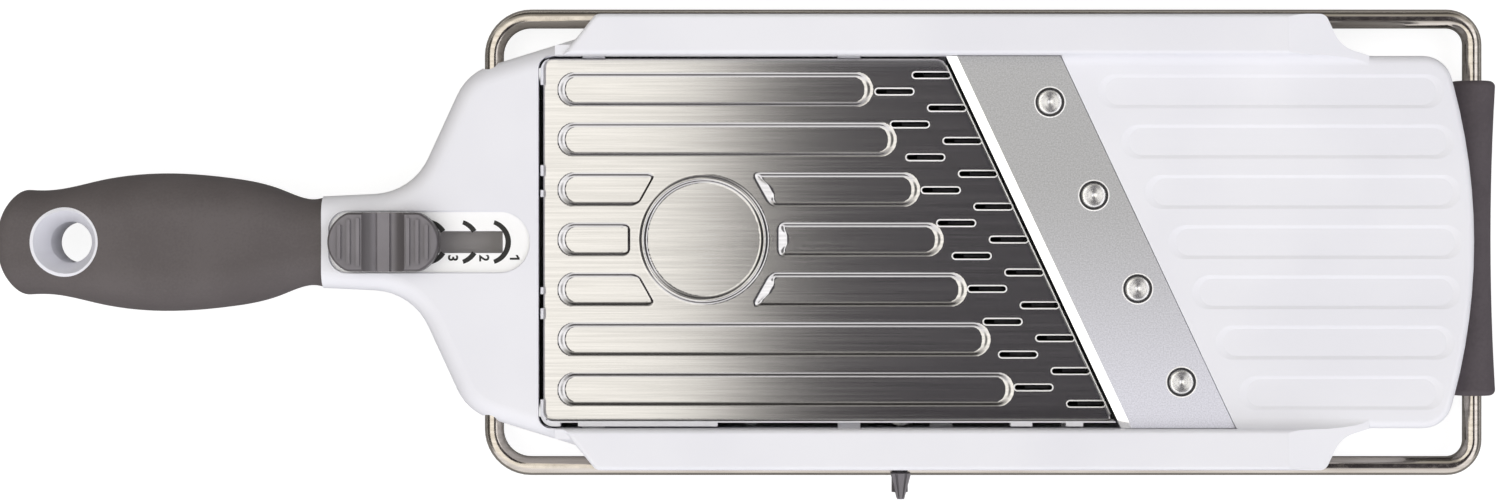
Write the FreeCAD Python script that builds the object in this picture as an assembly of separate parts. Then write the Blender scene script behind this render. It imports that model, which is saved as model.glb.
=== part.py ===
import FreeCAD, Part
import math
import os

# Mandoline slicer, in millimetres. The table is z = 0, +X runs from the handle to the toe,
# +Z is the cutting face and the XZ plane divides the body into two equal halves.

# Heights
STACK_GAP = 0.75          # between the folded stand's wire and the lever's hub above it
RAIL_RISE = 4.0           # side rails above the panel
RAIL_LIP = 12.5           # lower edge of the rail's outer wall below the panel
NECK_DEPTH = 21.5         # underside of the neck below the panel
GRIP_DEPTH = 10.5         # handle's axis below the panel
DECK_T = 3.2              # thickness of the top wall
WALL = 2.6                # thickness of the upright walls

# Plan of the body
NECK_X = -113.9           # joint between the grip and the neck
NECK_HALF = 12.2          # half width of the neck
NECK_LENGTH = 38.3        # from that joint to the shoulder's corner
NECK_FLARE = 14.6         # neck turns into the shoulder this far before the corner
NECK_FLARE_HALF = 13.3
SHOULDER_LENGTH = 31.6    # from the corner to where the shoulder passes under the rail
NECK_FLARE_R = 16.5
SHOULDER_R = 14.5
SHOULDER_EDGE_R = 5.0     # rounding of the top edge of neck and shoulders
BAY_HALF = 49.4           # half width between the two rails
RAIL_W = 10.8             # width of each rail
SHOULDER_IN = 4.3         # shoulder's corner inside the bay's side
SHOULDER_OUT = 5.5        # shoulder's end outside it, under the rail
RAIL_SET = 34.6           # rail starts ahead of the shoulder's corner, on the outer edge
RAIL_X1 = 151.5           # rail's other end
RAIL_TAPER_X0 = 8.7       # length of the tapered rail ends
RAIL_TAPER_X1 = 12.0
RAIL_EDGE_R = 1.2
RAIL_CORNER_R = 2.5
RAIL_BREAK = 0.36         # share of the taper at the toe end before it flattens
RAIL_BREAK_W = 0.21       # share of the rail's width left there
RAIL_HOLLOW_R = 8.0       # hollow corner of that taper
RAIL_BITE = 0.1           # hollow strip runs this far into the rail
RAIL_RUNOUT = 22.0        # rail's top falls to the panel over this length
TOE_X = 191.7             # tip of the toe
TOE_R = 161.0             # bow of the toe's edge
TOE_CORNER_R = 8.0
TOE_EDGE_R = 2.2
TOE_SETBACK = 9.2         # toe wall behind the tip
TOE_WALL_INSET = 2.8      # toe wall inside the toe's sides
TOE_WALL_R = 10.0
RISE_SET = 2.4            # underside rises to the neck this far before the shoulder's corner
RISE_RUN = 2.0            # run of that rise for each unit of height

# Handle
HANG_AHEAD = 18.7         # hanging hole ahead of the grip's end
TANG_AHEAD = 10.5         # tang ahead of the grip's end
GRIP_BOW_R = 20.3         # bow of the grip's end, seen from above
GRIP_END_R = 4.0
GRIP_STATIONS = [         # distance ahead of the grip's end, half width, half thickness
    (-1.0, 14.3, 10.6),   # starts past the end, which the bow cuts off
    (6.5, 14.1, 10.6),
    (14.0, 14.0, 10.8),
    (26.8, 16.6, 12.2),
    (44.0, 18.4, 13.0),
    (61.2, 17.2, 12.6),
    (74.0, 14.3, 11.4),
    (86.6, 12.2, 10.6),
]
GRIP_CORNER = 0.86        # corner radius as a share of the half thickness
TANG_HALF_W = 6.0
TANG_HALF_T = 5.0
HANG_R = 5.5
HANG_MOUTH_R = 8.6
HANG_COLLAR = 0.6         # white rim round the mouth
HANG_FUNNEL = 9.0         # depth of the funnel below the handle's top
OVERMOULD_FIT = 0.02

# Ramp, blade and julienne slots share one slant: x falls by SLANT for each unit of y
SLANT = 0.47
BLADE_EDGE_X = 74.8       # cutting edge on the centre line
BLADE_LENGTH_X = 30.1     # edge to back, along x
BLADE_T = 1.2
BLADE_BEVEL = 2.7
BLADE_LIP = 0.08          # thickness left at the cutting edge
BLADE_SIDE_GAP = 0.2
DROP_LENGTH_X = 17.7      # slice opening behind the cutting edge, along x
DROP_SIDE = 2.0           # ledge at each end of that opening
RIVET_SET = 3.9           # rivets behind that opening
RIVET_COUNT = 4
RIVET_SIDE = 12.35        # outer rivets inside the bay's side
RIVET_HEAD_R = 3.2
RIVET_HEAD_T = 0.9
RIVET_SINK = 0.4          # countersunk depth of the head
RIVET_RING = 0.65         # dark ring left round the head
RIVET_R = 1.6
RIVET_TAIL_R = 2.6
RIVET_TAIL_T = 1.0
WASHER_R = 3.6
WASHER_T = 0.8
RIVET_FIT = 0.05

THICKEST = 3.0            # slice at setting 3, the rest position
THINNEST = 1.0            # slice at setting 1
PLATE_T = 1.2
PLATE_SET = 20.4          # plate starts ahead of the shoulder's corner
PLATE_SIDE = 1.2          # plate inside the rails
PLATE_SHIFT = 0.7         # plate and julienne slots lie this far to the +Y side
PLATE_EDGE_GAP = 0.6      # plate ends this far before the cutting edge
PLATE_CORNER_R = 2.6
PLATE_TIP_R = 1.8         # corners at the cutting edge
ROWS = 7
ROW_SIDE = 8.3            # outer channels inside the plate's edge
ROW_LAND = 4.3            # flat strip between two channels
CHANNEL_SIDE = 0.9        # run of the channel's sloping sides
CHANNEL_END = 2.1         # run of the channel's sloping ends
CHANNEL_DEPTH = 0.7
CHANNEL_SET = 3.6         # channels start ahead of the plate's end
CHANNEL_X1 = 51.1         # right end on the centre line
OUTFEED_X0 = 110.3        # left end of the outfeed channels on the centre line
OUTFEED_TOE_GAP = 3.4
OUTFEED_DEPTH = 0.35
RING_SET = 42.5           # round medallion ahead of the plate's end
RING_R = 15.9
RING_HALF = 1.1
RING_DEPTH = 0.5
RING_CLEAR_R = 19.5       # channels keep out of this circle
RING_TAIL = 0.775         # share of that circle where a slanted channel end stops following it
SHORT_CORNER_R = 1.6
SLOT_LENGTH = 10.0
SLOT_WIDTH = 1.4
SLOT_EDGE_WEB = 0.4       # steel left between a front slot and the plate's edge
SLOT_ROW_GAP = 11.95
SLOT_SIDE = 4.475         # outer slots inside the plate's edge
FRONT_COUNT = 11
REAR_COUNT = 10

# Ramp carrier
CARRIER_T = 2.4
CARRIER_RIM = 0.75        # rim that shows round the plate
RIM_RISE = 2.2            # rim above the plate's face
BAY_GAP = 0.5             # between the carrier and the body
RIM_SEAT = 0.05
RIM_GAPS = ((0.0, 12.0), (13.8, 17.6), (20.4, 41.8))  # gaps in the rim at the handle end
RIM_SIDE_GAPS = (         # gaps in the rim's sides: side, start and end ahead of the plate's end
    (1, 4.5, 9.2), (1, 16.2, 120.0),
    (-1, 4.5, 9.2), (-1, 46.2, 124.0), (-1, 129.7, 138.7), (-1, 143.2, 160.0),
)
RIM_UNDERCUT = 0.3        # those gaps run in under the plate
CARRIER_SIDE = 2.9        # side strips beside the julienne slots
CARRIER_SLOT_CLEAR = 2.4
LUG_T = 3.6
LUG_LENGTH = 8.0
LUG_FOOT = 1.0            # lug below the pin
PIN_R = 2.0
PIN_RISE = 4.6            # lowest pin height over the carriage's underside
PIN_SETS = (21.2, 59.2)   # pins ahead of the plate's end
PIN_FIT = 0.05
GUIDE_LENGTH = 6.0        # guide tabs in the side walls
GUIDE_DEPTH = 1.6
GUIDE_GAP = 0.3
GUIDE_SET = 13.2          # first guide ahead of the plate's end
GUIDE_BEHIND = 14.1       # second guide behind the julienne shaft

# Thickness slider
TRAVEL = 16.4
BUTTON_SET = 2.2          # button ahead of the grip
BUTTON_LENGTH = 29.4
BUTTON_HALF = 7.75
BUTTON_H = 5.4
BUTTON_END_R = 8.3
BUTTON_END_ARCS = 12
BUTTON_SIDE_R = 3.0
BUTTON_TOP_R = 0.8
BUTTON_GAP = 0.15         # under the button
RECESS_MARGIN = 0.55      # recess round the button
RECESS_DEPTH = 1.0
RECESS_SQUARE = 0.6       # corner radius at the recess's handle end, as a share of its half width
RECESS_RUN = 7.4          # recess beyond the last setting
STEM_HALF = 2.5
STEM_INSET = 2.3          # stem inside the button's nose
STEM_LENGTH = 16.0
STEM_GAP = 0.4
RIB_COUNT = 3
RIB_PITCH = 2.45
RIB_W = 0.9
RIB_H = 0.7
RIB_INSET = 3.2
RIB_SIDE = 1.3            # ribs inside the button's sides
RIB_ROUND = 2.0           # ribs inside its round ends
SADDLE_R = 9.0            # finger scoop across the button
SADDLE_DEPTH = 2.0
SADDLE_BAR = 3.2          # bar left in the middle of the scoop
SADDLE_BAR_H = 0.9

# Carriage under the neck
CARRIAGE_HALF = 7.5
CARRIAGE_SET = 4.0        # carriage ahead of the button's end
CARRIAGE_TOP_GAP = 0.4
CARRIAGE_PLATE = 3.2
CARRIAGE_STOP = 7.4       # carriage ends before the shoulder's corner
CROSSBAR_SET = 5.6        # crossbar starts ahead of that corner
CROSSBAR_LENGTH = 10.0
TAIL_SIDE = 1.0           # tail under the slider's slot, wider than the slot on each side
TAIL_T = 2.4
WEB_SET = 3.2             # web's outer face inside the pivot blocks
WEB_T = 3.0
WEB_END = 6.0             # web beyond the last pin
WEB_TOP_GAP = 0.8         # web below the carrier
SLOT_CLEAR = 0.35         # between a pin and its sloping slot
PIN_REACH = 0.6           # pin beyond the web
FLOOR_GAP = 0.3           # carriage above what carries it
SPRING_T = 0.4
SPRING_LENGTH = 13.0
SPRING_HALF = 3.0
SPRING_POCKET = 1.7
SPRING_GAP = 0.1
SCREW_R = 1.5
SCREW_HEAD_R = 2.5
SCREW_HEAD_T = 1.2
SCREW_BITE = 4.0
DRIVE_LENGTH = 0.6        # cross recess as shares of the head's radius
DRIVE_WIDTH = 0.14
SCREW_FIT = 0.05

# Neck cover
COVER_T = 2.2
COVER_END_GAP = 0.4       # between the cover and the grip
COVER_CORNER_R = 1.0
SCREW_SET = 3.2           # first screw ahead of the grip
COVER_HALF = 9.2
COVER_WIDE = 12.4         # cover widens before the shoulder's corner
COVER_WIDE_HALF = 14.4
COVER_STOP = 0.9          # cover ends before that corner
COVER_PAIR = 8.4          # pair of screws before it
COVER_PAIR_Y = 11.2
BOSS_R = 2.6

# Cross ribs under the body; the one at x = 0 carries the base mount
RIB_X = (-30.0, 0.0)
RIB_FOOT_HALF = 5.0
RIB_FOOT_T = 3.0
RIB_WEB_HALF = 1.5
UNDER_RIBS = (120.0, 140.0, 160.0)
UNDER_RIB_T = 1.8
UNDER_RIB_H = 6.0

# Wire stand
WIRE_R = 2.6
WIRE_SIDE = 0.6           # wire's centre line outside the rails
WIRE_AHEAD = 4.5          # wire's centre line ahead of the toe
WIRE_TAIL = 2.6           # wire's ends inside the pivot blocks
PIVOT_SET = 5.6           # pivot ahead of the shoulder's corner
FLOOR_LIFT = 0.2          # folded foot over the table
WIRE_BEND_R = 10.0
WIRE_TOE_BEND_R = 7.0
PIVOT_CLEAR = 0.05
BUSH_R = 4.0
BUSH_FIT = 0.03
PAD_HALF = 6.0            # block behind the pivot, along x
PAD_SET = 3.9             # block's inner face inside the shoulder's corner
NOTCH_DEPTH = 1.0         # open notch in the shoulder's edge over the wire
NOTCH_CLEAR = 0.35
RETAINER_R = 3.7
RETAINER_T = 1.8
RETAINER_GAP = 0.3
FOOT_LENGTH = 85.5
FOOT_SHIFT = 1.1          # sleeve off the centre line
FOOT_R = 6.2
FOOT_WAIST_R = 5.0
FOOT_EDGE_R = 1.6
FOOT_FIT = 0.02

# Julienne lift
SHAFT_X = 40.1
SHAFT_R = 1.75
SHAFT_CLEAR = 0.05
SHAFT_BUSH_R = 3.2
LIFT = 5.0
CAM_BASE = 2.7            # lowest height of the cam over its axis
CAM_GAP = 0.15            # between cam and tray
CAM_T = 5.0
CAM_Y = (-26.0, 26.0)
CAM_PIN_R = 0.75
TRAY_T = 2.0
TRAY_BEHIND = 7.1         # tray's edge behind the shaft
TRAY_SIDE = 4.4           # tray inside the rails
TRAY_CORNER_R = 1.0
TRAY_TAB_IN = 3.2         # guide tab behind the tray's corner on the +Y side
TRAY_TAB_BACK = 8.5       # the same on the -Y side
TRAY_TAB_AHEAD = 10.9     # second tab there, ahead of the shaft
TRAY_EDGE_GAP = 0.6       # tray ends this far before the plate's edge
TRAY_TOP_GAP = 0.4        # raised tray under the carrier
TOOTH_T = 0.6
TOOTH_LENGTH = 8.4
TOOTH_RAKE = 2.2
TOOTH_ROOT = 1.5
TOOTH_SINK = 2.0          # tooth tops below the ramp when lowered
TOOTH_FIT = 0.03
LEVER_SIDE = 0.7          # hub's inner face outside the rails
LEVER_ROOT = 1.1          # arm starts outside the hub's inner face
LEVER_REACH = 8.1         # tip outside the hub's inner face
LEVER_HUB_R = 2.2
LEVER_RISE = 9.0
LEVER_HALF = 2.6
LEVER_TIP_HALF = 0.9
LEVER_GROOVE = 1.0        # depth of the grooves between the arm's ridges
LEVER_RIDGE = 0.36        # middle ridge as a share of the arm's half width
LEVER_FALL = 2.2          # arm's top falls towards the tip
LEVER_CAP = 1.5           # hub ends before the tip
LEVER_PIN_SET = 2.4       # pin from the hub's inner face
LEVER_PIN_R = 0.6
CLIP_R = 4.0
CLIP_T = 0.8
CLIP_GAP = 0.3

# Worked out from the sizes above: the height is what the mechanism needs, stacked from the table up
WIRE_Z = FOOT_R + FLOOR_LIFT
SHAFT_Z = WIRE_Z + WIRE_R + STACK_GAP + LEVER_HUB_R
TRAY_Z0 = SHAFT_Z + CAM_BASE + CAM_GAP
TRAY_Z1 = TRAY_Z0 + TRAY_T
CARRIER_Z0 = TRAY_Z1 + LIFT + TRAY_TOP_GAP
CARRIER_Z1 = CARRIER_Z0 + CARRIER_T
PLATE_Z = CARRIER_Z1 + PLATE_T
EDGE_Z = PLATE_Z + THICKEST
PANEL_Z = EDGE_Z + BLADE_T
DECK_Z = PANEL_Z - DECK_T
RAIL_Z = PANEL_Z + RAIL_RISE
RAIL_LIP_Z = PANEL_Z - RAIL_LIP
NECK_BASE_Z = PANEL_Z - NECK_DEPTH
GRIP_Z = PANEL_Z - GRIP_DEPTH
COVER_Z1 = NECK_BASE_Z + COVER_T
CARRIAGE_Z = COVER_Z1 + FLOOR_GAP
CARRIAGE_Z1 = DECK_Z - CARRIAGE_TOP_GAP
PIN_REST_Z = CARRIAGE_Z + PIN_RISE
WEB_Z1 = CARRIER_Z0 - WEB_TOP_GAP
RECESS_Z = PANEL_Z - RECESS_DEPTH
RAMP_LIFT = THICKEST - THINNEST
CAM_RATE = LIFT / (math.pi / 2)
GRIP_END_X = NECK_X - GRIP_STATIONS[-1][0]
SHOULDER_X = NECK_X + NECK_LENGTH
SHOULDER_END_X = SHOULDER_X + SHOULDER_LENGTH
SHOULDER_RISE_X = SHOULDER_X - RISE_SET
NECK_FLARE_X = SHOULDER_X - NECK_FLARE
RAIL_X0 = SHOULDER_X + RAIL_SET
PLATE_X0 = SHOULDER_X + PLATE_SET
CHANNEL_X0 = PLATE_X0 + CHANNEL_SET
RING_X = PLATE_X0 + RING_SET
PIN_X = [PLATE_X0 + along for along in PIN_SETS]
CARRIER_GUIDE_X = (PLATE_X0 + GUIDE_SET, SHAFT_X - GUIDE_BEHIND)
CARRIAGE_X1 = SHOULDER_X - CARRIAGE_STOP
CROSSBAR_X0 = SHOULDER_X + CROSSBAR_SET
COVER_WIDE_X = SHOULDER_X - COVER_WIDE
COVER_X1 = SHOULDER_X - COVER_STOP
COVER_PAIR_X = SHOULDER_X - COVER_PAIR
HANG_X = GRIP_END_X + HANG_AHEAD
TANG_END_X = GRIP_END_X + TANG_AHEAD
BUTTON_X0 = NECK_X + BUTTON_SET
STEM_X1 = BUTTON_X0 + BUTTON_LENGTH - STEM_INSET
STEM_SLOT_X1 = STEM_X1 + TRAVEL + STEM_INSET
STEM_SLOT_HALF = STEM_HALF + STEM_GAP
CARRIAGE_X0 = BUTTON_X0 + CARRIAGE_SET
COVER_X0 = NECK_X + COVER_END_GAP
COVER_SCREWS = ((NECK_X + SCREW_SET, 0), (COVER_PAIR_X, COVER_PAIR_Y), (COVER_PAIR_X, -COVER_PAIR_Y))
SKIRT_HALF = BAY_HALF + WALL
RAIL_HALF = BAY_HALF + RAIL_W
SHOULDER_HALF = BAY_HALF - SHOULDER_IN
SHOULDER_END_HALF = BAY_HALF + SHOULDER_OUT
PLATE_HALF = BAY_HALF - PLATE_SIDE
ROW_PITCH = 2 * (PLATE_HALF - ROW_SIDE) / (ROWS - 1)
CHANNEL_HALF = (ROW_PITCH - ROW_LAND) / 2
SLOT_PITCH = 2 * (PLATE_HALF - SLOT_SIDE) / (FRONT_COUNT - 1)
RIVET_PITCH = 2 * (BAY_HALF - RIVET_SIDE) / (RIVET_COUNT - 1)
DROP_HALF = BAY_HALF - DROP_SIDE
RIVET_X = DROP_LENGTH_X + RIVET_SET
PLATE_EDGE_X = BLADE_EDGE_X - PLATE_EDGE_GAP
FRONT_SLOT_X = PLATE_EDGE_X - SLOT_EDGE_WEB - SLOT_LENGTH / 2
REAR_SLOT_X = FRONT_SLOT_X - SLOT_ROW_GAP
WIRE_Y = RAIL_HALF + WIRE_SIDE
WIRE_TOE_X = TOE_X + WIRE_AHEAD
PIVOT_X = SHOULDER_X + PIVOT_SET
PAD_Y = SHOULDER_HALF - PAD_SET
WIRE_END_Y = PAD_Y - WIRE_TAIL
WEB_Y = PAD_Y - WEB_SET - WEB_T / 2
TRAY_X0 = SHAFT_X - TRAY_BEHIND
TRAY_HALF = BAY_HALF - TRAY_SIDE
TRAY_EDGE_X = PLATE_EDGE_X - TRAY_EDGE_GAP
TRAY_GUIDES = (
    (TRAY_EDGE_X - SLANT * TRAY_HALF - TRAY_TAB_IN, 1),
    (SHAFT_X + TRAY_TAB_AHEAD, -1),
    (TRAY_EDGE_X + SLANT * TRAY_HALF - TRAY_TAB_BACK, -1),
)
LEVER_Y0 = RAIL_HALF + LEVER_SIDE
LEVER_ARM_Y = LEVER_Y0 + LEVER_ROOT
LEVER_TIP_Y = LEVER_Y0 + LEVER_REACH
TOE_SLANT = math.asin((BAY_HALF - TOE_CORNER_R) / TOE_R)
TOE_APEX_X = TOE_X + TOE_R * (1 / math.cos(TOE_SLANT) - 1)
TOE_CORNER_X = TOE_APEX_X - BAY_HALF * math.tan(TOE_SLANT)
PAST = 1.0                # cutters run this far past the faces they open
ROUND_END = 0.98          # share of the half width that a rounded end takes up


def vec(x, y, z=0.0):
    return FreeCAD.Vector(x, y, z)


def box(x0, x1, y0, y1, z0, z1):
    return Part.makeBox(x1 - x0, y1 - y0, z1 - z0, vec(x0, y0, z0))


def rod(radius, start, end):
    """Cylinder between two points."""
    along = end - start
    return Part.makeCylinder(radius, along.Length, start, along)


def outline(corners, z=0.0):
    """Closed wire through corners (x, y, radius), rounded with tangent arcs."""
    ends = []
    count = len(corners)
    for i in range(count):
        x, y, radius = corners[i]
        here = vec(x, y, z)
        before = vec(corners[i - 1][0], corners[i - 1][1], z) - here
        after = vec(corners[(i + 1) % count][0], corners[(i + 1) % count][1], z) - here
        before.normalize()
        after.normalize()
        if radius <= 0:
            ends.append((here, None, here))
            continue
        half = before.getAngle(after) / 2
        reach = radius / math.tan(half)
        middle = (before + after).normalize()
        crown = here + middle * (radius / math.sin(half) - radius)
        ends.append((here + before * reach, crown, here + after * reach))
    edges = []
    for i in range(count):
        start, crown, stop = ends[i]
        if crown is not None:
            edges.append(Part.Arc(start, crown, stop).toShape())
        following = ends[(i + 1) % count][0]
        if (following - stop).Length > 1e-6:
            edges.append(Part.LineSegment(stop, following).toShape())
    return Part.Wire(edges)


def inset(corners, depth):
    """The same outline moved inwards by depth, for corners listed anticlockwise."""
    moved = []
    count = len(corners)
    for i in range(count):
        x, y, radius = corners[i]
        into = vec(x - corners[i - 1][0], y - corners[i - 1][1]).normalize()
        out = vec(corners[(i + 1) % count][0] - x, corners[(i + 1) % count][1] - y).normalize()
        turn = into.x * out.y - into.y * out.x
        shift = depth * (into.dot(out) - 1) / turn
        middle = vec(x, y) + vec(-into.y, into.x) * depth + into * shift
        if radius > 0:
            radius = radius - math.copysign(depth, turn)
        moved.append((middle.x, middle.y, radius))
    return moved


def prism(corners, z0, z1):
    return Part.Face(outline(corners, z0)).extrude(vec(0, 0, z1 - z0))


def side_prism(points, y0, y1):
    """Polygon of (x, z) points, drawn out from y0 to y1."""
    corners = [vec(x, y0, z) for x, z in points]
    wire = Part.makePolygon(corners + corners[:1])
    return Part.Face(wire).extrude(vec(0, y1 - y0, 0))


def slanted_prism(points, half):
    """Polygon of (x, z) points given on the centre line, drawn along the blade's slant."""
    corners = [vec(x + SLANT * half, -half, z) for x, z in points]
    wire = Part.makePolygon(corners + corners[:1])
    return Part.Face(wire).extrude(vec(-2 * SLANT * half, 2 * half, 0))


def slanted_x(x, y):
    return x - SLANT * y


def mirror(shape):
    return shape.mirror(vec(0, 0, 0), vec(0, 1, 0))


def both_sides(shape):
    return [shape, mirror(shape)]


def mirrored(corners):
    """Half outline with y above zero, completed with its mirror image."""
    return corners + [(x, -y, r) for x, y, r in reversed(corners)]


def round_edges(shape, radius, wanted):
    edges = [edge for edge in shape.Edges if wanted(edge)]
    return shape.makeFillet(radius, edges)


def at_height(edge, z):
    return all(abs(v.Z - z) < 1e-4 for v in edge.Vertexes)


def stadium(x0, x1, y, half, z):
    """Wire with two straight sides and two round ends."""
    top = Part.LineSegment(vec(x1 - half, y + half, z), vec(x0 + half, y + half, z)).toShape()
    left = Part.Arc(vec(x0 + half, y + half, z), vec(x0, y, z), vec(x0 + half, y - half, z)).toShape()
    low = Part.LineSegment(vec(x0 + half, y - half, z), vec(x1 - half, y - half, z)).toShape()
    right = Part.Arc(vec(x1 - half, y - half, z), vec(x1, y, z), vec(x1 - half, y + half, z)).toShape()
    return Part.Wire([top, left, low, right])


def stadium_prism(x0, x1, y, half, z0, z1):
    return Part.Face(stadium(x0, x1, y, half, z0)).extrude(vec(0, 0, z1 - z0))


def channel(x0, x1, y, top_z, depth):
    """Cutter of one long channel with sloping sides and ends."""
    upper = stadium(x0, x1, y, CHANNEL_HALF, top_z)
    lower = stadium(x0 + CHANNEL_END, x1 - CHANNEL_END, y, CHANNEL_HALF - CHANNEL_SIDE, top_z - depth)
    return Part.makeLoft([upper, lower], True, True)


def row_heights():
    return [ROW_PITCH * (i - (ROWS - 1) / 2) for i in range(ROWS)]


def fused(first, others):
    return first.fuse(others).removeSplitter()


# White body


def shoulder_y(x):
    """Half width of the shoulder between its corner and the rail."""
    slope = (SHOULDER_END_HALF - SHOULDER_HALF) / (SHOULDER_END_X - SHOULDER_X)
    return SHOULDER_HALF + (x - SHOULDER_X) * slope


def shoulder_plan():
    """Outline of neck and shoulders on the +Y side."""
    return [
        (SHOULDER_END_X, SHOULDER_END_HALF, 0),
        (SHOULDER_X, SHOULDER_HALF, SHOULDER_R),
        (NECK_FLARE_X, NECK_FLARE_HALF, NECK_FLARE_R),
        (NECK_X, NECK_HALF, 0),
    ]


def neck_and_shoulders():
    half = shoulder_plan()
    solid = prism(mirrored(half), 0, PANEL_Z)

    def top_flank(edge):
        middle = edge.CenterOfMass
        return at_height(edge, PANEL_Z) and NECK_X + PAST < middle.x < SHOULDER_END_X - PAST

    solid = round_edges(solid, SHOULDER_EDGE_R, top_flank)
    rise = SHOULDER_RISE_X - NECK_BASE_Z * RISE_RUN
    under = [(NECK_X - PAST, -PAST), (SHOULDER_RISE_X, -PAST), (SHOULDER_RISE_X, 0)]
    under += [(rise, NECK_BASE_Z), (NECK_X - PAST, NECK_BASE_Z)]
    solid = solid.cut(side_prism(under, -RAIL_HALF, RAIL_HALF))
    open_end = SHOULDER_END_X + 2 * WALL
    inner = [(open_end, shoulder_y(open_end), 0)] + half[1:3] + [(NECK_X - 2 * WALL, NECK_HALF, 0)]
    return solid.cut(prism(inset(mirrored(inner), WALL), -PAST, DECK_Z))


def rail_blend():
    """Hollow strip that leads from the panel up to the inner side of the +Y rail."""
    radius = RAIL_RISE - RAIL_EDGE_R
    start = RAIL_X0 + WALL
    y0, y1 = BAY_HALF - radius, BAY_HALF + RAIL_BITE
    corner = vec(start, y0, PANEL_Z)
    hollow = vec(start, y0 + radius * math.sqrt(0.5), PANEL_Z + radius * (1 - math.sqrt(0.5)))
    crest = vec(start, BAY_HALF, PANEL_Z + radius)
    back = [crest, vec(start, y1, crest.z), vec(start, y1, DECK_Z), vec(start, y0, DECK_Z), corner]
    edges = [Part.LineSegment(a, b).toShape() for a, b in zip(back, back[1:])]
    face = Part.Face(Part.Wire([Part.Arc(corner, hollow, crest).toShape()] + edges))
    return face.extrude(vec(RAIL_X1 + RAIL_TAPER_X1 - start, 0, 0))


def rail_runout():
    """Cutter that slopes the rail's top down to the panel at the toe end."""
    end = RAIL_X1 + RAIL_TAPER_X1
    points = [(end - RAIL_RUNOUT, RAIL_Z), (end, PANEL_Z), (end + PAST, PANEL_Z), (end + PAST, RAIL_Z + PAST)]
    points.append((end - RAIL_RUNOUT, RAIL_Z + PAST))
    return side_prism(points, BAY_HALF - RAIL_RISE, RAIL_HALF + PAST)


def rail():
    """Raised rail on the +Y side, hollow from below."""
    plan = [
        (RAIL_X0 - RAIL_TAPER_X0, BAY_HALF, 0),
        (RAIL_X0, RAIL_HALF, RAIL_CORNER_R),
        (RAIL_X1, RAIL_HALF, RAIL_CORNER_R),
        (RAIL_X1 + RAIL_TAPER_X1 * RAIL_BREAK, BAY_HALF + RAIL_W * RAIL_BREAK_W, RAIL_HOLLOW_R),
        (RAIL_X1 + RAIL_TAPER_X1, BAY_HALF, 0),
    ]
    solid = prism(plan, RAIL_LIP_Z, RAIL_Z)
    solid = round_edges(solid, RAIL_EDGE_R, lambda edge: at_height(edge, RAIL_Z))
    roof = RAIL_Z - DECK_T
    side = RAIL_HALF - WALL
    return solid.cut(box(RAIL_X0 + WALL, RAIL_X1 - WALL, SKIRT_HALF, side, RAIL_LIP_Z - PAST, roof))


def toe_deck():
    start = SHOULDER_END_X - 2 * WALL
    half = [
        (TOE_APEX_X, 0, TOE_R),
        (TOE_CORNER_X, BAY_HALF, TOE_CORNER_R),
        (start, BAY_HALF, 0),
    ]
    solid = prism(half + [(x, -y, r) for x, y, r in reversed(half[1:])], DECK_Z, PANEL_Z)

    def toe_edge(edge):
        return at_height(edge, PANEL_Z) and edge.CenterOfMass.x > SHOULDER_END_X

    return round_edges(solid, TOE_EDGE_R, toe_edge)


def toe_wall():
    """Upright wall under the toe, clear of the folded stand."""
    front = TOE_X - TOE_SETBACK
    side = BAY_HALF - TOE_WALL_INSET
    start = RAIL_X1 - 4 * WALL
    plan = mirrored([
        (start, SKIRT_HALF, 0),
        (RAIL_X1 - WALL, SKIRT_HALF, 0),
        (RAIL_X1 + 2 * WALL, side, 0),
        (front, side, TOE_WALL_R),
    ])[::-1]
    inner = inset(plan, WALL)
    outer = prism(plan, 0, DECK_Z)
    opened = box(start - PAST, start + 2 * WALL, WALL - SKIRT_HALF, SKIRT_HALF - WALL, -PAST, DECK_Z + PAST)
    return outer.cut([prism(inner, -PAST, DECK_Z + PAST), opened])


def cross_rib(x):
    foot = box(x - RIB_FOOT_HALF, x + RIB_FOOT_HALF, -BAY_HALF, BAY_HALF, 0, RIB_FOOT_T)
    web = box(x - RIB_WEB_HALF, x + RIB_WEB_HALF, -BAY_HALF, BAY_HALF, 0, CARRIAGE_Z - FLOOR_GAP)
    return foot.fuse(web)


def handle_solid():
    """Outer form of the handle, before the tang is taken out of it."""
    wires = []
    for ahead, half_w, half_t in GRIP_STATIONS:
        radius = half_t * GRIP_CORNER
        section = outline([
            (half_w, half_t, radius),
            (-half_w, half_t, radius),
            (-half_w, -half_t, radius),
            (half_w, -half_t, radius),
        ])
        turn = FreeCAD.Rotation(vec(0, 1, 0), vec(0, 0, 1), vec(1, 0, 0), "ZXY")
        section.Placement = FreeCAD.Placement(vec(GRIP_END_X + ahead, 0, GRIP_Z), turn)
        wires.append(section)
    solid = Part.makeLoft(wires, True, False)
    centre = GRIP_END_X + GRIP_BOW_R
    bow = Part.makeCylinder(GRIP_BOW_R, 4 * PANEL_Z, vec(centre, 0, -PANEL_Z))
    wide = 2 * GRIP_BOW_R
    ahead = box(centre, NECK_X + PAST, -wide, wide, -PANEL_Z, 3 * PANEL_Z)
    solid = solid.common(bow.fuse(ahead))

    def on_bow(edge):
        off = [abs(math.hypot(v.X - centre, v.Y) - GRIP_BOW_R) for v in edge.Vertexes]
        return max(off) < 1e-3 and edge.CenterOfMass.x < GRIP_END_X + GRIP_BOW_R / 2

    return round_edges(solid, GRIP_END_R, on_bow)


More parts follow.
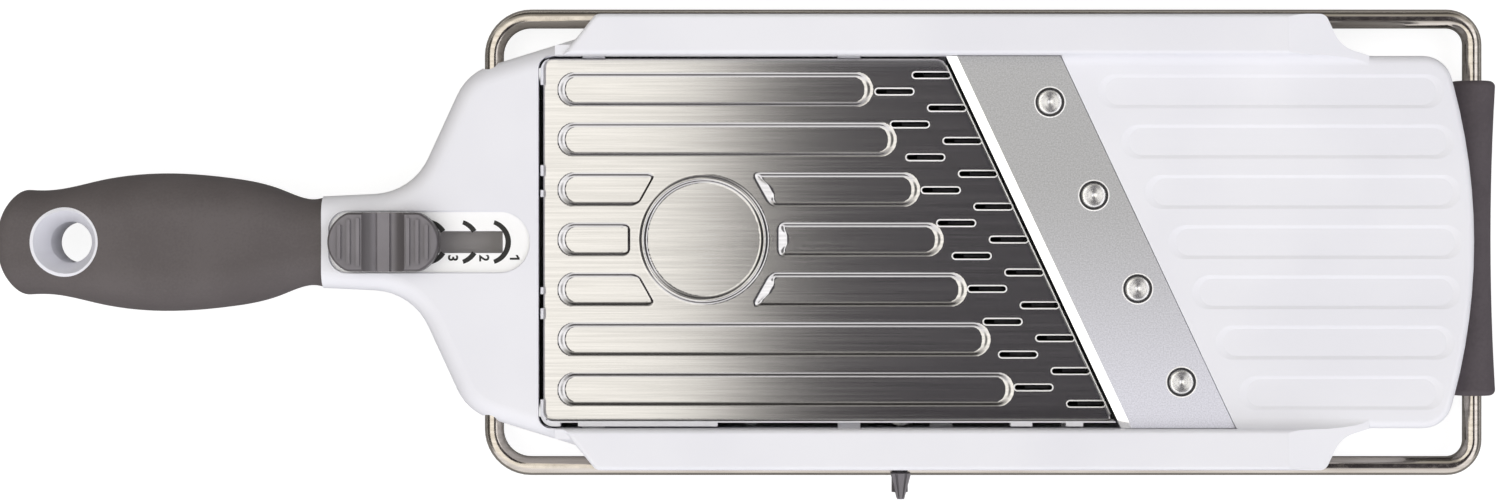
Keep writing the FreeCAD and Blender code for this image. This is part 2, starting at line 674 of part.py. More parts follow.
def tang(fit):
    """Bar and hole collar that the grip is moulded round."""
    half_w = TANG_HALF_W + fit
    half_t = TANG_HALF_T + fit
    bar = box(TANG_END_X - fit, NECK_X, -half_w, half_w, GRIP_Z - half_t, GRIP_Z + half_t)
    reach = 2 * PANEL_Z
    collar = Part.makeCylinder(HANG_MOUTH_R + HANG_COLLAR + fit, reach, vec(HANG_X, 0, GRIP_Z - reach / 2))
    return bar.fuse(collar)


def handle_top(x):
    """Height of the handle's upper face, between two stations."""
    ahead = x - GRIP_END_X
    for first, second in zip(GRIP_STATIONS, GRIP_STATIONS[1:]):
        if first[0] <= ahead <= second[0]:
            share = (ahead - first[0]) / (second[0] - first[0])
            return GRIP_Z + first[2] + share * (second[2] - first[2])
    return GRIP_Z + GRIP_STATIONS[0][2]


def hang_hole():
    top = handle_top(HANG_X)
    bore = Part.makeCylinder(HANG_R, 4 * PANEL_Z, vec(HANG_X, 0, -PANEL_Z))
    throat = vec(HANG_X, 0, top - HANG_FUNNEL)
    funnel = Part.makeCone(HANG_R, HANG_MOUTH_R, HANG_FUNNEL, throat)
    return bore.fuse([funnel, Part.makeCylinder(HANG_MOUTH_R, DECK_T, vec(HANG_X, 0, top))])


def pivot_cut():
    """Bore for the bush, way in for the wire and the open notch above it, on the +Y side."""
    edge_y = shoulder_y(PIVOT_X)
    notch_r = WIRE_R + NOTCH_CLEAR
    notch_y = edge_y - NOTCH_DEPTH
    out_y = edge_y + 2 * WALL
    seat = rod(BUSH_R + BUSH_FIT, vec(PIVOT_X, PAD_Y - PAST, WIRE_Z), vec(PIVOT_X, notch_y, WIRE_Z))
    way = rod(notch_r + BUSH_FIT, vec(PIVOT_X, PAD_Y - PAST, WIRE_Z), vec(PIVOT_X, out_y, WIRE_Z))
    notch = prism([
        (PIVOT_X - notch_r, notch_y, notch_r * ROUND_END),
        (PIVOT_X + notch_r, notch_y, notch_r * ROUND_END),
        (PIVOT_X + notch_r, out_y, 0),
        (PIVOT_X - notch_r, out_y, 0),
    ], WIRE_Z, PANEL_Z + PAST)
    return [seat, way, notch], notch_y


def pivot_pad():
    """Block behind the pivot, kept inside the shoulder's wall."""
    pad = box(PIVOT_X - PAD_HALF, PIVOT_X + PAD_HALF, PAD_Y, BAY_HALF, 0, DECK_Z)
    return pad.common(prism(inset(mirrored(shoulder_plan()), WALL / 2), 0, DECK_Z))


def guide_groove(x, side, half_length, z0, z1):
    """Upright groove in a side wall for a guide tab."""
    y0, y1 = sorted((side * (BAY_HALF - PAST), side * (BAY_HALF + GUIDE_DEPTH)))
    return box(x - half_length - GUIDE_GAP, x + half_length + GUIDE_GAP, y0, y1, z0, z1)


def guide_tab(x, side, z0, z1, inner):
    y0, y1 = sorted((side * inner, side * (BAY_HALF + GUIDE_DEPTH - GUIDE_GAP)))
    return box(x - GUIDE_LENGTH / 2, x + GUIDE_LENGTH / 2, y0, y1, z0, z1)


def rivet_places():
    for i in range(RIVET_COUNT):
        y = RIVET_PITCH * (i - (RIVET_COUNT - 1) / 2)
        yield slanted_x(BLADE_EDGE_X + RIVET_X, y), y


def body_frame():
    handle = handle_solid()
    solid = neck_and_shoulders()
    pieces = [toe_deck(), toe_wall()]
    skirt = box(SHOULDER_END_X - 3 * WALL, RAIL_X1 - WALL, BAY_HALF, SKIRT_HALF, 0, RAIL_Z - RAIL_EDGE_R)
    for half in (rail(), rail_blend(), skirt, pivot_pad()):
        pieces += both_sides(half)
    pieces += [cross_rib(x) for x in RIB_X]
    for x in UNDER_RIBS:
        pieces.append(box(x, x + UNDER_RIB_T, -BAY_HALF, BAY_HALF, DECK_Z - UNDER_RIB_H, DECK_Z))
    for x, y in COVER_SCREWS:
        pieces.append(Part.makeCylinder(BOSS_R, DECK_Z - COVER_Z1, vec(x, y, COVER_Z1)))
    wall_half = NECK_HALF - WALL / 2
    pieces.append(box(NECK_X, NECK_X + WALL, -wall_half, wall_half, COVER_Z1, DECK_Z))
    pieces.append(tang(0).common(handle))
    solid = fused(solid, pieces)

    cuts = []
    bay_x0 = PLATE_X0 - CARRIER_RIM - BAY_GAP
    edge_x = BLADE_EDGE_X
    bay = [
        (bay_x0, BAY_HALF, PLATE_CORNER_R + CARRIER_RIM),
        (bay_x0, -BAY_HALF, PLATE_CORNER_R + CARRIER_RIM),
        (slanted_x(edge_x, -BAY_HALF), -BAY_HALF, 0),
        (slanted_x(edge_x, BAY_HALF), BAY_HALF, 0),
    ]
    cuts.append(prism(bay, DECK_Z - PAST, RAIL_Z + PAST))
    drop = [(edge_x - PAST, DECK_Z - PAST), (edge_x + DROP_LENGTH_X, DECK_Z - PAST)]
    drop += [(edge_x + DROP_LENGTH_X, RAIL_Z), (edge_x - PAST, RAIL_Z)]
    cuts.append(slanted_prism(drop, DROP_HALF))
    back_x = edge_x + BLADE_LENGTH_X + BLADE_SIDE_GAP
    seat = [(edge_x - PAST, EDGE_Z), (back_x, EDGE_Z), (back_x, RAIL_Z), (edge_x - PAST, RAIL_Z)]
    cuts.append(slanted_prism(seat, BAY_HALF))
    cuts += both_sides(rail_runout())
    for x, y in rivet_places():
        cuts.append(Part.makeCylinder(RIVET_R + RIVET_FIT, 2 * DECK_T, vec(x, y, DECK_Z - DECK_T / 2)))
    for y in row_heights():
        toe_x = TOE_X - TOE_R + math.sqrt(TOE_R ** 2 - y ** 2)
        cuts.append(channel(slanted_x(OUTFEED_X0, y), toe_x - OUTFEED_TOE_GAP, y, PANEL_Z, OUTFEED_DEPTH))

    recess_x0 = BUTTON_X0 - RECESS_MARGIN / 2
    recess_x1 = BUTTON_X0 + BUTTON_LENGTH + TRAVEL + RECESS_RUN
    recess_half = BUTTON_HALF + RECESS_MARGIN
    cuts.append(prism([
        (recess_x0, recess_half, recess_half * RECESS_SQUARE),
        (recess_x0, -recess_half, recess_half * RECESS_SQUARE),
        (recess_x1, -recess_half, recess_half * ROUND_END),
        (recess_x1, recess_half, recess_half * ROUND_END),
    ], RECESS_Z, PANEL_Z + PAST))
    slot_x0 = STEM_X1 - STEM_LENGTH - 2 * STEM_GAP
    cuts.append(prism([
        (slot_x0, STEM_SLOT_HALF, STEM_GAP),
        (slot_x0, -STEM_SLOT_HALF, STEM_GAP),
        (STEM_SLOT_X1, -STEM_SLOT_HALF, STEM_GAP),
        (STEM_SLOT_X1, STEM_SLOT_HALF, STEM_GAP),
    ], DECK_Z - PAST, PANEL_Z))

    for cutter in pivot_cut()[0]:
        solid = solid.cut(both_sides(cutter))
    for x in CARRIER_GUIDE_X:
        for side in (1, -1):
            cuts.append(guide_groove(x, side, GUIDE_LENGTH / 2, CARRIER_Z0 - PAST, DECK_Z + PAST))
    for x, side in TRAY_GUIDES:
        cuts.append(guide_groove(x, side, GUIDE_LENGTH / 2, TRAY_Z0 - PAST, TRAY_Z1 + LIFT + PAST))
    seat_r = SHAFT_BUSH_R + BUSH_FIT
    shaft_seat = rod(seat_r, vec(SHAFT_X, BAY_HALF - PAST, SHAFT_Z), vec(SHAFT_X, SKIRT_HALF + PAST, SHAFT_Z))
    cuts += both_sides(shaft_seat)
    for x, y in COVER_SCREWS:
        cuts.append(Part.makeCylinder(SCREW_R + SCREW_FIT, SCREW_BITE + PAST, vec(x, y, COVER_Z1 - PAST)))
    cuts.append(hang_hole())
    return solid.cut(cuts).removeSplitter()


def handle_grip():
    return handle_solid().cut(tang(OVERMOULD_FIT))


# Blade


def slicing_blade():
    back = BLADE_EDGE_X + BLADE_LENGTH_X
    section = [(BLADE_EDGE_X, EDGE_Z), (back, EDGE_Z), (back, PANEL_Z)]
    section += [(BLADE_EDGE_X + BLADE_BEVEL, PANEL_Z), (BLADE_EDGE_X, EDGE_Z + BLADE_LIP)]
    blade = slanted_prism(section, BAY_HALF - BLADE_SIDE_GAP)
    for x, y in rivet_places():
        hole = vec(x, y, EDGE_Z - BLADE_T / 2)
        blade = blade.cut(Part.makeCylinder(RIVET_R + RIVET_FIT, 2 * BLADE_T, hole))
        sink = Part.makeCylinder(RIVET_HEAD_R + RIVET_RING, BLADE_T, vec(x, y, PANEL_Z - RIVET_SINK))
        blade = blade.cut(sink)
    return blade


def blade_rivet(x, y):
    head_z = PANEL_Z - RIVET_SINK
    head = Part.makeCylinder(RIVET_HEAD_R, RIVET_HEAD_T, vec(x, y, head_z))
    crown = head_z + RIVET_HEAD_T
    head = head.makeChamfer(RIVET_HEAD_T / 3, [e for e in head.Edges if at_height(e, crown)])
    tail_z = DECK_Z - WASHER_T - RIVET_TAIL_T
    shank = Part.makeCylinder(RIVET_R, head_z - tail_z, vec(x, y, tail_z))
    tail = Part.makeCylinder(RIVET_TAIL_R, RIVET_TAIL_T, vec(x, y, tail_z))
    return fused(head, [shank, tail])


def rivet_washer(x, y):
    disc = Part.makeCylinder(WASHER_R, WASHER_T, vec(x, y, DECK_Z - WASHER_T))
    below = vec(x, y, DECK_Z - WASHER_T - PAST / 2)
    return disc.cut(Part.makeCylinder(RIVET_R + RIVET_FIT, WASHER_T + PAST, below))


# Ramp


def slot_centres(count, x):
    for i in range(count):
        y = PLATE_SHIFT + SLOT_PITCH * ((count - 1) / 2 - i)
        yield slanted_x(x, y), y


def julienne_places():
    return list(slot_centres(FRONT_COUNT, FRONT_SLOT_X)) + list(slot_centres(REAR_COUNT, REAR_SLOT_X))


def short_channel(x0, x1, y, left):
    """Channel cut short by the medallion; left says on which side of it the channel lies."""

    def ends(grow, z):
        half = CHANNEL_HALF - grow
        reach = RING_CLEAR_R + grow
        low, high = sorted((abs(y - half), abs(y + half)))
        if abs(y) < half:
            low = high = 0.0
        sign = -1 if left else 1

        def stop(height):
            return RING_X + sign * math.sqrt(reach ** 2 - min(height, reach * RING_TAIL) ** 2)

        near, far = stop(low), stop(high)
        near_y, far_y = (y - half, y + half) if y >= 0 else (y + half, y - half)
        run = grow * CHANNEL_END / CHANNEL_SIDE
        tip = x0 + run if left else x1 - run
        corners = [
            (tip, near_y, half * ROUND_END),
            (near, near_y, SHORT_CORNER_R),
            (far, far_y, SHORT_CORNER_R),
            (tip, far_y, half * ROUND_END),
        ]
        return outline(corners, z)

    return Part.makeLoft([ends(0.0, PLATE_Z), ends(CHANNEL_SIDE, PLATE_Z - CHANNEL_DEPTH)], True, True)


def ramp_plate():
    edge_x = slanted_x(PLATE_EDGE_X, PLATE_SHIFT)
    plan = [
        (PLATE_X0, PLATE_HALF, PLATE_CORNER_R),
        (PLATE_X0, -PLATE_HALF, PLATE_CORNER_R),
        (slanted_x(edge_x, -PLATE_HALF), -PLATE_HALF, PLATE_TIP_R),
        (slanted_x(edge_x, PLATE_HALF), PLATE_HALF, PLATE_TIP_R),
    ]
    plate = prism(plan, PLATE_Z - PLATE_T, PLATE_Z)
    cuts = []
    for y in row_heights():
        right = slanted_x(CHANNEL_X1, y)
        if abs(y) - CHANNEL_HALF > RING_CLEAR_R - CHANNEL_HALF:
            cuts.append(channel(CHANNEL_X0, right, y, PLATE_Z, CHANNEL_DEPTH))
        else:
            cuts.append(short_channel(CHANNEL_X0, right, y, True))
            cuts.append(short_channel(CHANNEL_X0, right, y, False))
    floor = vec(RING_X, 0, PLATE_Z - RING_DEPTH)
    ring = Part.makeCylinder(RING_R + RING_HALF, 2 * RING_DEPTH, floor)
    cuts.append(ring.cut(Part.makeCylinder(RING_R - RING_HALF, 2 * RING_DEPTH, floor)))
    plate = plate.cut(cuts)
    plate.translate(vec(0, PLATE_SHIFT))
    slots = []
    for x, y in julienne_places():
        left, right = x - SLOT_LENGTH / 2, x + SLOT_LENGTH / 2
        slots.append(stadium_prism(left, right, y, SLOT_WIDTH / 2, PLATE_Z - 2 * PLATE_T, PLATE_Z + PAST))
    return plate.cut(slots)


def carrier_half_width():
    return PLATE_HALF + CARRIER_RIM - RIM_SEAT


def ramp_carrier():
    half = carrier_half_width()
    x0 = PLATE_X0 - CARRIER_RIM
    plan = [
        (x0, half, PLATE_CORNER_R + CARRIER_RIM),
        (x0, -half, PLATE_CORNER_R + CARRIER_RIM),
        (slanted_x(PLATE_EDGE_X, -half), -half, 0),
        (slanted_x(PLATE_EDGE_X, half), half, 0),
    ]
    rim_z = PLATE_Z + RIM_RISE
    solid = prism(plan, CARRIER_Z0, rim_z)
    low, high = PLATE_SHIFT - PLATE_HALF - RIM_SEAT, PLATE_SHIFT + PLATE_HALF + RIM_SEAT
    pocket = [
        (PLATE_X0 - RIM_SEAT, high, PLATE_CORNER_R),
        (PLATE_X0 - RIM_SEAT, low, PLATE_CORNER_R),
        (slanted_x(PLATE_EDGE_X + PAST, low), low, 0),
        (slanted_x(PLATE_EDGE_X + PAST, high), high, 0),
    ]
    cuts = [prism(pocket, CARRIER_Z1, rim_z + PAST)]
    bay_x = REAR_SLOT_X - SLOT_LENGTH / 2 - CARRIER_SLOT_CLEAR
    side = PLATE_HALF - CARRIER_SIDE
    opening = [(bay_x, CARRIER_Z0 - PAST), (PLATE_EDGE_X + PAST, CARRIER_Z0 - PAST)]
    opening += [(PLATE_EDGE_X + PAST, rim_z), (bay_x, rim_z)]
    cuts.append(slanted_prism(opening, side))
    for inner, outer in RIM_GAPS:
        gap = box(x0 - PAST, PLATE_X0 + RIM_SEAT, inner, outer, CARRIER_Z0 - PAST, rim_z + PAST)
        cuts += both_sides(gap)
    for side_sign, start, stop in RIM_SIDE_GAPS:
        y0, y1 = sorted((side_sign * (PLATE_HALF - RIM_UNDERCUT), side_sign * (half + PAST)))
        cuts.append(box(PLATE_X0 + start, PLATE_X0 + stop, y0, y1, CARRIER_Z0 - PAST, rim_z + PAST))
    solid = solid.cut(cuts)
    pieces = []
    web_inner = WEB_Y - WEB_T / 2
    for x in PIN_X:
        foot = PIN_REST_Z - PIN_R - LUG_FOOT
        y1 = web_inner - FLOOR_GAP
        lug = box(x - LUG_LENGTH / 2, x + LUG_LENGTH / 2, y1 - LUG_T, y1, foot, CARRIER_Z0)
        bore = rod(PIN_R + PIN_FIT, vec(x, y1 - LUG_T - PAST, PIN_REST_Z), vec(x, y1 + PAST, PIN_REST_Z))
        pieces += both_sides(lug.cut(bore))
    for x in CARRIER_GUIDE_X:
        for side_sign in (1, -1):
            pieces.append(guide_tab(x, side_sign, CARRIER_Z0, CARRIER_Z1, half - WALL))
    return fused(solid, pieces)


def lift_pin(x):
    inner = WEB_Y - WEB_T / 2 - FLOOR_GAP - LUG_T
    outer = WEB_Y + WEB_T / 2 + PIN_REACH
    return rod(PIN_R, vec(x, inner, PIN_REST_Z), vec(x, outer, PIN_REST_Z))


# Thickness slider


def button_plan():
    """Outline with bowed ends; each end is a chain of short arcs, which stays round when meshed."""
    spread = math.asin(BUTTON_HALF / BUTTON_END_R)
    inset_x = BUTTON_END_R * math.cos(spread)

    def end(centre, middle):
        count = 2 * BUTTON_END_ARCS
        turns = [middle + spread * (2 * k / count - 1) for k in range(count + 1)]
        points = [vec(centre + BUTTON_END_R * math.cos(t), BUTTON_END_R * math.sin(t)) for t in turns]
        return [Part.Arc(*points[k:k + 3]).toShape() for k in range(0, count, 2)]

    left = BUTTON_X0 + BUTTON_END_R
    right = BUTTON_X0 + BUTTON_LENGTH - BUTTON_END_R
    top = Part.LineSegment(vec(right + inset_x, BUTTON_HALF), vec(left - inset_x, BUTTON_HALF)).toShape()
    low = Part.LineSegment(vec(left - inset_x, -BUTTON_HALF), vec(right + inset_x, -BUTTON_HALF)).toShape()
    return Part.Wire([top] + end(left, math.pi) + [low] + end(right, 0.0))


def slider_button():
    z0 = RECESS_Z + BUTTON_GAP
    z1 = z0 + BUTTON_H
    wire = button_plan()
    wire.translate(vec(0, 0, z0))
    solid = Part.Face(wire).extrude(vec(0, 0, BUTTON_H))

    def side_corner(edge):
        zs = [v.Z for v in edge.Vertexes]
        return max(zs) - min(zs) > BUTTON_H / 2 and abs(edge.CenterOfMass.y) > BUTTON_HALF - FLOOR_GAP

    solid = round_edges(solid, BUTTON_SIDE_R, side_corner)
    solid = round_edges(solid, BUTTON_TOP_R, lambda edge: at_height(edge, z1))
    middle = BUTTON_X0 + BUTTON_LENGTH / 2
    axis_z = z1 - SADDLE_DEPTH + SADDLE_R
    wide = 2 * BUTTON_HALF
    scoop = rod(SADDLE_R, vec(middle, -wide, axis_z), vec(middle, wide, axis_z))
    bar_top = z1 - SADDLE_DEPTH + SADDLE_BAR_H
    scoop = scoop.cut(box(middle - SADDLE_BAR / 2, middle + SADDLE_BAR / 2, -wide, wide, z0, bar_top))
    solid = solid.cut(scoop)
    ribs = []
    for i in range(RIB_COUNT):
        inward = RIB_INSET + i * RIB_PITCH
        end_half = math.sqrt(BUTTON_END_R ** 2 - max(BUTTON_END_R - inward, 0.0) ** 2)
        rib_half = min(BUTTON_HALF - RIB_SIDE, end_half - RIB_ROUND)
        for sign in (1, -1):
            x = middle + sign * (BUTTON_LENGTH / 2 - inward)
            ribs.append(box(x - RIB_W / 2, x + RIB_W / 2, -rib_half, rib_half, z1 - SADDLE_DEPTH, z1 + RIB_H))
    stem = stadium_prism(STEM_X1 - STEM_LENGTH, STEM_X1, 0, STEM_HALF, CARRIAGE_Z1, z0 + PAST)
    solid = fused(solid, ribs + [stem])
    return solid.cut(slider_screw_bore(SCREW_BITE))


def slider_screw_place():
    return STEM_X1 - STEM_LENGTH / 2


def slider_screw_bore(depth):
    base = CARRIAGE_Z1 - CARRIAGE_PLATE - PAST
    height = CARRIAGE_PLATE + PAST + depth
    return Part.makeCylinder(SCREW_R + SCREW_FIT, height, vec(slider_screw_place(), 0, base))


def slider_screw():
    x = slider_screw_place()
    seat = CARRIAGE_Z1 - CARRIAGE_PLATE
    head = Part.makeCylinder(SCREW_HEAD_R, SCREW_HEAD_T, vec(x, 0, seat - SCREW_HEAD_T))
    shank = Part.makeCylinder(SCREW_R, CARRIAGE_PLATE + SCREW_BITE - PAST, vec(x, 0, seat))
    drive = screw_cross(x, 0, seat - SCREW_HEAD_T)
    return fused(head, [shank]).cut(drive)


def screw_cross(x, y, z):
    """Cross recess in a screw head that faces down."""
    length = SCREW_HEAD_R * DRIVE_LENGTH
    width = SCREW_HEAD_R * DRIVE_WIDTH
    depth = SCREW_HEAD_T / 2
    first = box(x - length, x + length, y - width, y + width, z - PAST, z + depth)
    return first.fuse(box(x - width, x + width, y - length, y + length, z - PAST, z + depth))


def sloped_slot(x):
    """Slot that lifts a pin by the ramp's travel as the carriage moves along its own."""
    radius = PIN_R + SLOT_CLEAR
    y0, y1 = WEB_Y - WEB_T, WEB_Y + WEB_T
    low = vec(x, 0, PIN_REST_Z)
    high = vec(x - TRAVEL, 0, PIN_REST_Z + RAMP_LIFT)
    ends = [rod(radius, vec(p.x, y0, p.z), vec(p.x, y1, p.z)) for p in (low, high)]
    along = (high - low).normalize()
    across = vec(-along.z, 0, along.x) * radius
    points = [low + across, high + across, high - across, low - across]
    middle = side_prism([(p.x, p.z) for p in points], y0, y1)
    return ends[0].fuse([ends[1], middle])


def slider_carriage():
    block = box(CARRIAGE_X0, CARRIAGE_X1, -CARRIAGE_HALF, CARRIAGE_HALF, CARRIAGE_Z, CARRIAGE_Z1)
    window = box(CARRIAGE_X0 + CARRIAGE_PLATE, CARRIAGE_X1 - CARRIAGE_PLATE, -CARRIAGE_HALF - PAST,
                 CARRIAGE_HALF + PAST, CARRIAGE_Z + CARRIAGE_PLATE, CARRIAGE_Z1 - CARRIAGE_PLATE)
    block = block.cut(window)
    bar_z1 = CARRIAGE_Z + CARRIAGE_PLATE
    bar_x1 = CROSSBAR_X0 + CROSSBAR_LENGTH
    web_outer = WEB_Y + WEB_T / 2
    spine = box(CARRIAGE_X1 - PAST, bar_x1, -CARRIAGE_HALF, CARRIAGE_HALF, CARRIAGE_Z, bar_z1)
    crossbar = box(CROSSBAR_X0, bar_x1, -web_outer, web_outer, CARRIAGE_Z, bar_z1)
    web = box(CROSSBAR_X0, PIN_X[-1] + WEB_END, WEB_Y - WEB_T / 2, web_outer, CARRIAGE_Z, WEB_Z1)
    for x in PIN_X:
        web = web.cut(sloped_slot(x))
    tail_half = STEM_SLOT_HALF + TAIL_SIDE
    tail_z1 = CARRIER_Z0 - FLOOR_GAP
    tail = box(CARRIAGE_X1 - PAST, STEM_SLOT_X1 + TAIL_SIDE, -tail_half, tail_half, tail_z1 - TAIL_T, tail_z1)
    solid = fused(block, [spine, crossbar, tail] + both_sides(web))
    spring_x0 = spring_start()
    pocket = box(spring_x0 - GUIDE_GAP, spring_x0 + SPRING_LENGTH + GUIDE_GAP, -SPRING_HALF - GUIDE_GAP,
                 SPRING_HALF + GUIDE_GAP, CARRIAGE_Z - PAST, CARRIAGE_Z + SPRING_POCKET)
    return solid.cut([pocket, slider_screw_bore(0)])


def spring_start():
    return CARRIAGE_X0 + CARRIAGE_PLATE


def friction_spring():
    """Bowed leaf, held in the carriage's pocket and bearing on the neck cover."""
    x0 = spring_start()
    x1 = x0 + SPRING_LENGTH
    high = CARRIAGE_Z + SPRING_POCKET
    low = COVER_Z1 + SPRING_GAP
    y = -SPRING_HALF
    middle = (x0 + x1) / 2
    upper = Part.Arc(vec(x0, y, high), vec(middle, y, low + SPRING_T), vec(x1, y, high)).toShape()
    right = Part.LineSegment(vec(x1, y, high), vec(x1, y, high - SPRING_T)).toShape()
    lower = Part.Arc(vec(x1, y, high - SPRING_T), vec(middle, y, low), vec(x0, y, high - SPRING_T)).toShape()
    left = Part.LineSegment(vec(x0, y, high - SPRING_T), vec(x0, y, high)).toShape()
    return Part.Face(Part.Wire([upper, right, lower, left])).extrude(vec(0, 2 * SPRING_HALF, 0))


def neck_cover():
    half = [
        (COVER_X0, COVER_HALF, COVER_CORNER_R),
        (COVER_WIDE_X, COVER_HALF, 0),
        (COVER_WIDE_X, COVER_WIDE_HALF, COVER_CORNER_R),
        (COVER_X1, COVER_WIDE_HALF, COVER_CORNER_R),
    ]
    plate = prism(mirrored(half), COVER_Z1 - COVER_T, COVER_Z1)
    for x, y in COVER_SCREWS:
        below = vec(x, y, COVER_Z1 - COVER_T - PAST)
        plate = plate.cut(Part.makeCylinder(SCREW_R + SCREW_FIT, COVER_T + 2 * PAST, below))
        plate = plate.cut(Part.makeCylinder(SCREW_HEAD_R + SCREW_FIT, SCREW_HEAD_T + PAST, below))
    return plate


def cover_screw(x, y):
    foot = COVER_Z1 - COVER_T
    head = Part.makeCylinder(SCREW_HEAD_R, SCREW_HEAD_T, vec(x, y, foot))
    shank = Part.makeCylinder(SCREW_R, COVER_T + SCREW_BITE - PAST, vec(x, y, foot))
    return fused(head, [shank]).cut(screw_cross(x, y, foot))


# Wire stand


def stand_path():
    corners = mirrored([
        (PIVOT_X, WIRE_END_Y, 0),
        (PIVOT_X, WIRE_Y, WIRE_BEND_R),
        (WIRE_TOE_X, WIRE_Y, WIRE_TOE_BEND_R),
    ])
    edges = []
    last = vec(corners[0][0], corners[0][1], WIRE_Z)
    for i in range(1, len(corners) - 1):
        x, y, radius = corners[i]
        here = vec(x, y, WIRE_Z)
        into = (vec(corners[i - 1][0], corners[i - 1][1], WIRE_Z) - here).normalize()
        out = (vec(corners[i + 1][0], corners[i + 1][1], WIRE_Z) - here).normalize()
        start, stop = here + into * radius, here + out * radius
        crown = here + (into + out) * radius - (into + out).normalize() * radius
        edges.append(Part.LineSegment(last, start).toShape())
        edges.append(Part.Arc(start, crown, stop).toShape())
        last = stop
    end = vec(corners[-1][0], corners[-1][1], WIRE_Z)
    edges.append(Part.LineSegment(last, end).toShape())
    return Part.Wire(edges)


def stand_wire():
    path = stand_path()
    circle = Part.makeCircle(WIRE_R, vec(PIVOT_X, WIRE_END_Y, WIRE_Z), vec(0, 1, 0))
    return path.makePipeShell([Part.Wire(circle)], True, False)


def stand_foot():
    """Waisted rubber sleeve on the toe end of the wire."""
    half = FOOT_LENGTH / 2
    bow_y = half - FOOT_EDGE_R
    bow = Part.Arc(vec(FOOT_R, bow_y), vec(FOOT_WAIST_R, 0), vec(FOOT_R, -bow_y)).toShape()
    bore = WIRE_R + FOOT_FIT
    soft = FOOT_EDGE_R * (1 - math.sqrt(0.5))
    points_top = (vec(FOOT_R - FOOT_EDGE_R, half), vec(FOOT_R - soft, half - soft), vec(FOOT_R, bow_y))
    edges = [Part.Arc(*points_top).toShape(), bow]
    points_low = [vec(p.x, -p.y) for p in reversed(points_top)]
    edges.append(Part.Arc(*points_low).toShape())
    edges.append(Part.LineSegment(points_low[-1], vec(bore, -half)).toShape())
    edges.append(Part.LineSegment(vec(bore, -half), vec(bore, half)).toShape())
    edges.append(Part.LineSegment(vec(bore, half), points_top[0]).toShape())
    solid = Part.Face(Part.Wire(edges)).revolve(vec(0, 0), vec(0, 1, 0), 360)
    solid.translate(vec(WIRE_TOE_X, FOOT_SHIFT, WIRE_Z))
    return solid


def stand_bush():
    _, outer = pivot_cut()
    solid = rod(BUSH_R, vec(PIVOT_X, PAD_Y, WIRE_Z), vec(PIVOT_X, outer, WIRE_Z))
    bore = rod(WIRE_R + PIVOT_CLEAR, vec(PIVOT_X, PAD_Y - PAST, WIRE_Z), vec(PIVOT_X, outer + PAST, WIRE_Z))
    return solid.cut(bore)


def stand_retainer():
    y1 = PAD_Y - RETAINER_GAP
    y0 = y1 - RETAINER_T
    ring = rod(RETAINER_R, vec(PIVOT_X, y0, WIRE_Z), vec(PIVOT_X, y1, WIRE_Z))
    bore = rod(WIRE_R + FOOT_FIT, vec(PIVOT_X, y0 - PAST, WIRE_Z), vec(PIVOT_X, y1 + PAST, WIRE_Z))
    return ring.cut(bore)


# Julienne lift


def shaft_end():
    return LEVER_TIP_Y - LEVER_CAP - SHAFT_R / 2


def cam_shaft():
    shaft = rod(SHAFT_R, vec(SHAFT_X, SKIRT_HALF, SHAFT_Z), vec(SHAFT_X, -shaft_end(), SHAFT_Z))
    for y in CAM_Y:
        shaft = shaft.cut(cross_pin(CAM_PIN_R + PIN_FIT, y, SHAFT_R + PAST))
    return shaft.cut(cross_pin(LEVER_PIN_R + PIN_FIT, lever_pin_y(), SHAFT_R + PAST))


def cross_pin(radius, y, half):
    """Pin through the shaft, upright at rest."""
    return rod(radius, vec(SHAFT_X, y, SHAFT_Z - half), vec(SHAFT_X, y, SHAFT_Z + half))


def lift_cam(y):
    """Cam whose flat follower rises evenly with the turn: the nose lies towards the handle at rest."""
    y0 = y - CAM_T / 2
    steps = 8

    def contact(turn):
        height = CAM_BASE + CAM_RATE * turn
        x = -height * math.sin(turn) - CAM_RATE * math.cos(turn)
        z = height * math.cos(turn) - CAM_RATE * math.sin(turn)
        return vec(SHAFT_X + x, y0, SHAFT_Z + z)

    rise = Part.BSplineCurve()
    rise.interpolate([contact(math.pi / 2 * i / steps) for i in range(steps + 1)])
    top = vec(SHAFT_X, y0, SHAFT_Z + CAM_BASE)
    low = vec(SHAFT_X, y0, SHAFT_Z - CAM_BASE)
    nose = contact(math.pi / 2)
    heel = vec(nose.x + CAM_RATE, y0, low.z)
    edges = [
        Part.LineSegment(top, contact(0)).toShape(),
        rise.toShape(),
        Part.LineSegment(nose, heel).toShape(),
        Part.LineSegment(heel, low).toShape(),
        Part.Arc(low, vec(SHAFT_X + CAM_BASE, y0, SHAFT_Z), top).toShape(),
    ]
    solid = Part.Face(Part.Wire(edges)).extrude(vec(0, CAM_T, 0))
    bore = rod(SHAFT_R + BUSH_FIT, vec(SHAFT_X, y0 - PAST, SHAFT_Z), vec(SHAFT_X, y0 + CAM_T + PAST, SHAFT_Z))
    return solid.cut([bore, cross_pin(CAM_PIN_R + PIN_FIT, y, 2 * CAM_BASE)])


def cam_pin(y):
    return cross_pin(CAM_PIN_R, y, CAM_BASE - CAM_GAP)


def lever_pin_y():
    return -(LEVER_Y0 + LEVER_PIN_SET)


def lever_pin():
    return cross_pin(LEVER_PIN_R, lever_pin_y(), LEVER_HUB_R - CAM_GAP)


